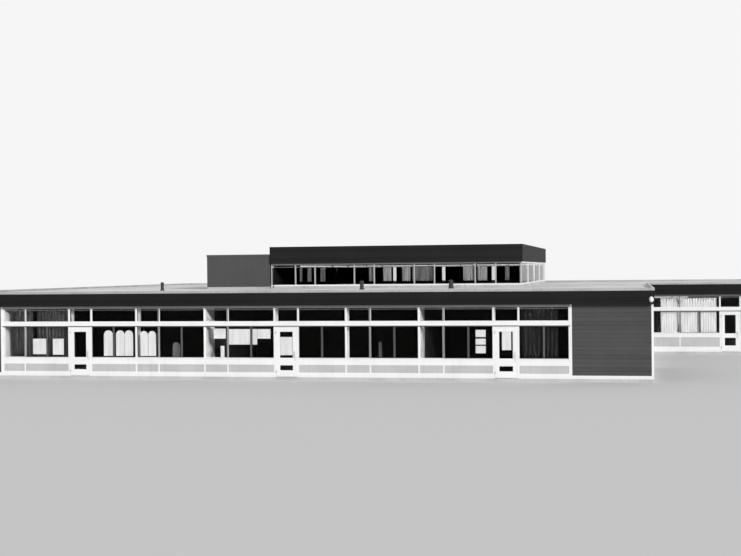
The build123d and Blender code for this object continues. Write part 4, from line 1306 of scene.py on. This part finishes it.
# %% [markdown]
# The plant room has a metal capping round its top, folded up at the outer edge so that no water runs down
# the walls, and thin cover strips over the joints of its cladding. The capping is a box whose lid is
# inset and sunk, opened there and below, and given the thickness of sheet metal.

# %% Plant room trim
CAP_PROUD, CAP_DEEP, CAP_WIDE, CAP_RISE, CAP_SINK = 0.018, 0.07, 0.14, 0.035, 0.01
CAP_ROUNDING, CAP_SHEET = 0.008, 0.002
JOINT_WIDE, JOINT_PROUD, CLADDING_LENGTH = 0.045, 0.006, 1.2
HALL_FLASHING, PLANT_FLASHING = 0.12, 0.10
capping = bmesh.new()
cap_sides = (plant_low.x - CAP_PROUD, plant_high.x, plant_low.y - CAP_PROUD, plant_high.y + CAP_PROUD)
box(capping, *cap_sides, plant_high.z - CAP_DEEP, plant_high.z + CAP_RISE)
level_faces = [face for face in capping.faces if abs(face.normal.z) > 0.9]
level_faces.sort(key=lambda face: face.calc_center_median().z)
under, lid = level_faces
bmesh.ops.inset_region(capping, faces=[lid], thickness=CAP_WIDE, depth=0.0)
bmesh.ops.translate(capping, vec=(0, 0, -CAP_RISE - CAP_SINK), verts=list(lid.verts))
bmesh.ops.delete(capping, geom=[lid, under], context="FACES_ONLY")
top_edges = edges_where(capping, lambda vertex: vertex.co.z > plant_high.z + CAP_RISE - 1e-4)
bevel(capping, [edge for edge in top_edges if len(edge.link_faces) == 2], CAP_ROUNDING, 2)
bmesh.ops.solidify(capping, geom=capping.faces[:], thickness=CAP_SHEET)
joints = bmesh.new()
joint_levels = (ROOF + PLANT_FLASHING, plant_high.z - CAP_DEEP)
for y in (plant_low.y - JOINT_PROUD, plant_high.y):
    for x in joints_between(plant_low.x, plant_high.x, CLADDING_LENGTH):
        box(joints, x - JOINT_WIDE / 2, x + JOINT_WIDE / 2, y, y + JOINT_PROUD, *joint_levels)
for y in joints_between(plant_low.y, plant_high.y, CLADDING_LENGTH):
    ends = (y - JOINT_WIDE / 2, y + JOINT_WIDE / 2)
    box(joints, plant_low.x - JOINT_PROUD, plant_low.x, *ends, *joint_levels)
plant_trim = bmesh.new()
join(plant_trim, capping)
join(plant_trim, joints)
finished("plant_room_trim", plant_trim, plant_paint)

# %% [markdown]
# Sheet metal is dressed over the foot of the hall and of the plant room, where they stand up from the
# roof. A strip starts as a box, and its upper front edge is pushed back to make the slope.

# %% Flashings
FLASHING_REACH, FLASHING_LIP = 0.03, 0.004


def flashing(mesh, x0, x1, rise):
    """A strip dressed over the foot of a wall that faces -Y."""
    strip = box(mesh, x0, x1, -FLASHING_REACH, 0.0, ROOF, ROOF + rise)
    front_top = [
        vertex for vertex in strip if vertex.co.y < -FLASHING_REACH / 2 and vertex.co.z > ROOF + rise / 2
    ]
    bmesh.ops.translate(mesh, vec=(0, FLASHING_REACH - FLASHING_LIP, 0), verts=front_top)


plant_wide, plant_deep = plant_high.x - plant_low.x, plant_high.y - plant_low.y
plant_front = wall_place((plant_low.x + plant_high.x) / 2, plant_low.y)
plant_side = wall_place(plant_low.x, (plant_low.y + plant_high.y) / 2, -1)
flashed = [
    (plant_front, -plant_wide / 2 - FLASHING_REACH, plant_wide / 2, PLANT_FLASHING),
    (plant_side, -plant_deep / 2, plant_deep / 2 + FLASHING_REACH, PLANT_FLASHING),
]
for (wall, start, end), past in zip(HALL_RUNS, (FLASHING_REACH, FLASHING_REACH, 0.0, 0.0)):
    flashed.append((wall, grid(start) - past, grid(end) + past, HALL_FLASHING))
flashings = bmesh.new()
for wall, x0, x1, rise in flashed:
    side = bmesh.new()
    flashing(side, x0, x1, rise)
    join(flashings, side, wall)
finished("roof_flashings", flashings, kerb_metal)

# %% [markdown]
# The metal edge of the roof comes in lengths of about three metres, with a strap folded over each joint.
# A strap has a top and a back, and at the fronts also a lip that hangs over the face.

# %% Roof edge straps
KERB_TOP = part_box("kerb_long")[1].z
KERB_LENGTH, STRAP, STRAP_THICK = 3.0, 0.06, 0.003
KERB_PROUD, KERB_WIDE = 0.01, 0.08
straps = bmesh.new()
for wall, start, end, reach in EAVES_EDGES:
    outer = -reach - KERB_PROUD
    inner = outer + KERB_WIDE
    lip = STRAP_THICK if wall in (FRONT, WING) else 0.0
    side = bmesh.new()
    for x in joints_between(start, end, KERB_LENGTH):
        ends = (x - STRAP / 2, x + STRAP / 2)
        box(side, *ends, outer - lip, inner + STRAP_THICK, KERB_TOP, KERB_TOP + STRAP_THICK)
        box(side, *ends, inner, inner + STRAP_THICK, ROOF, KERB_TOP)
        if lip:
            box(side, *ends, outer - lip, outer, ROOF, KERB_TOP)
    join(straps, side, wall)
finished("kerb_straps", straps, kerb_metal)
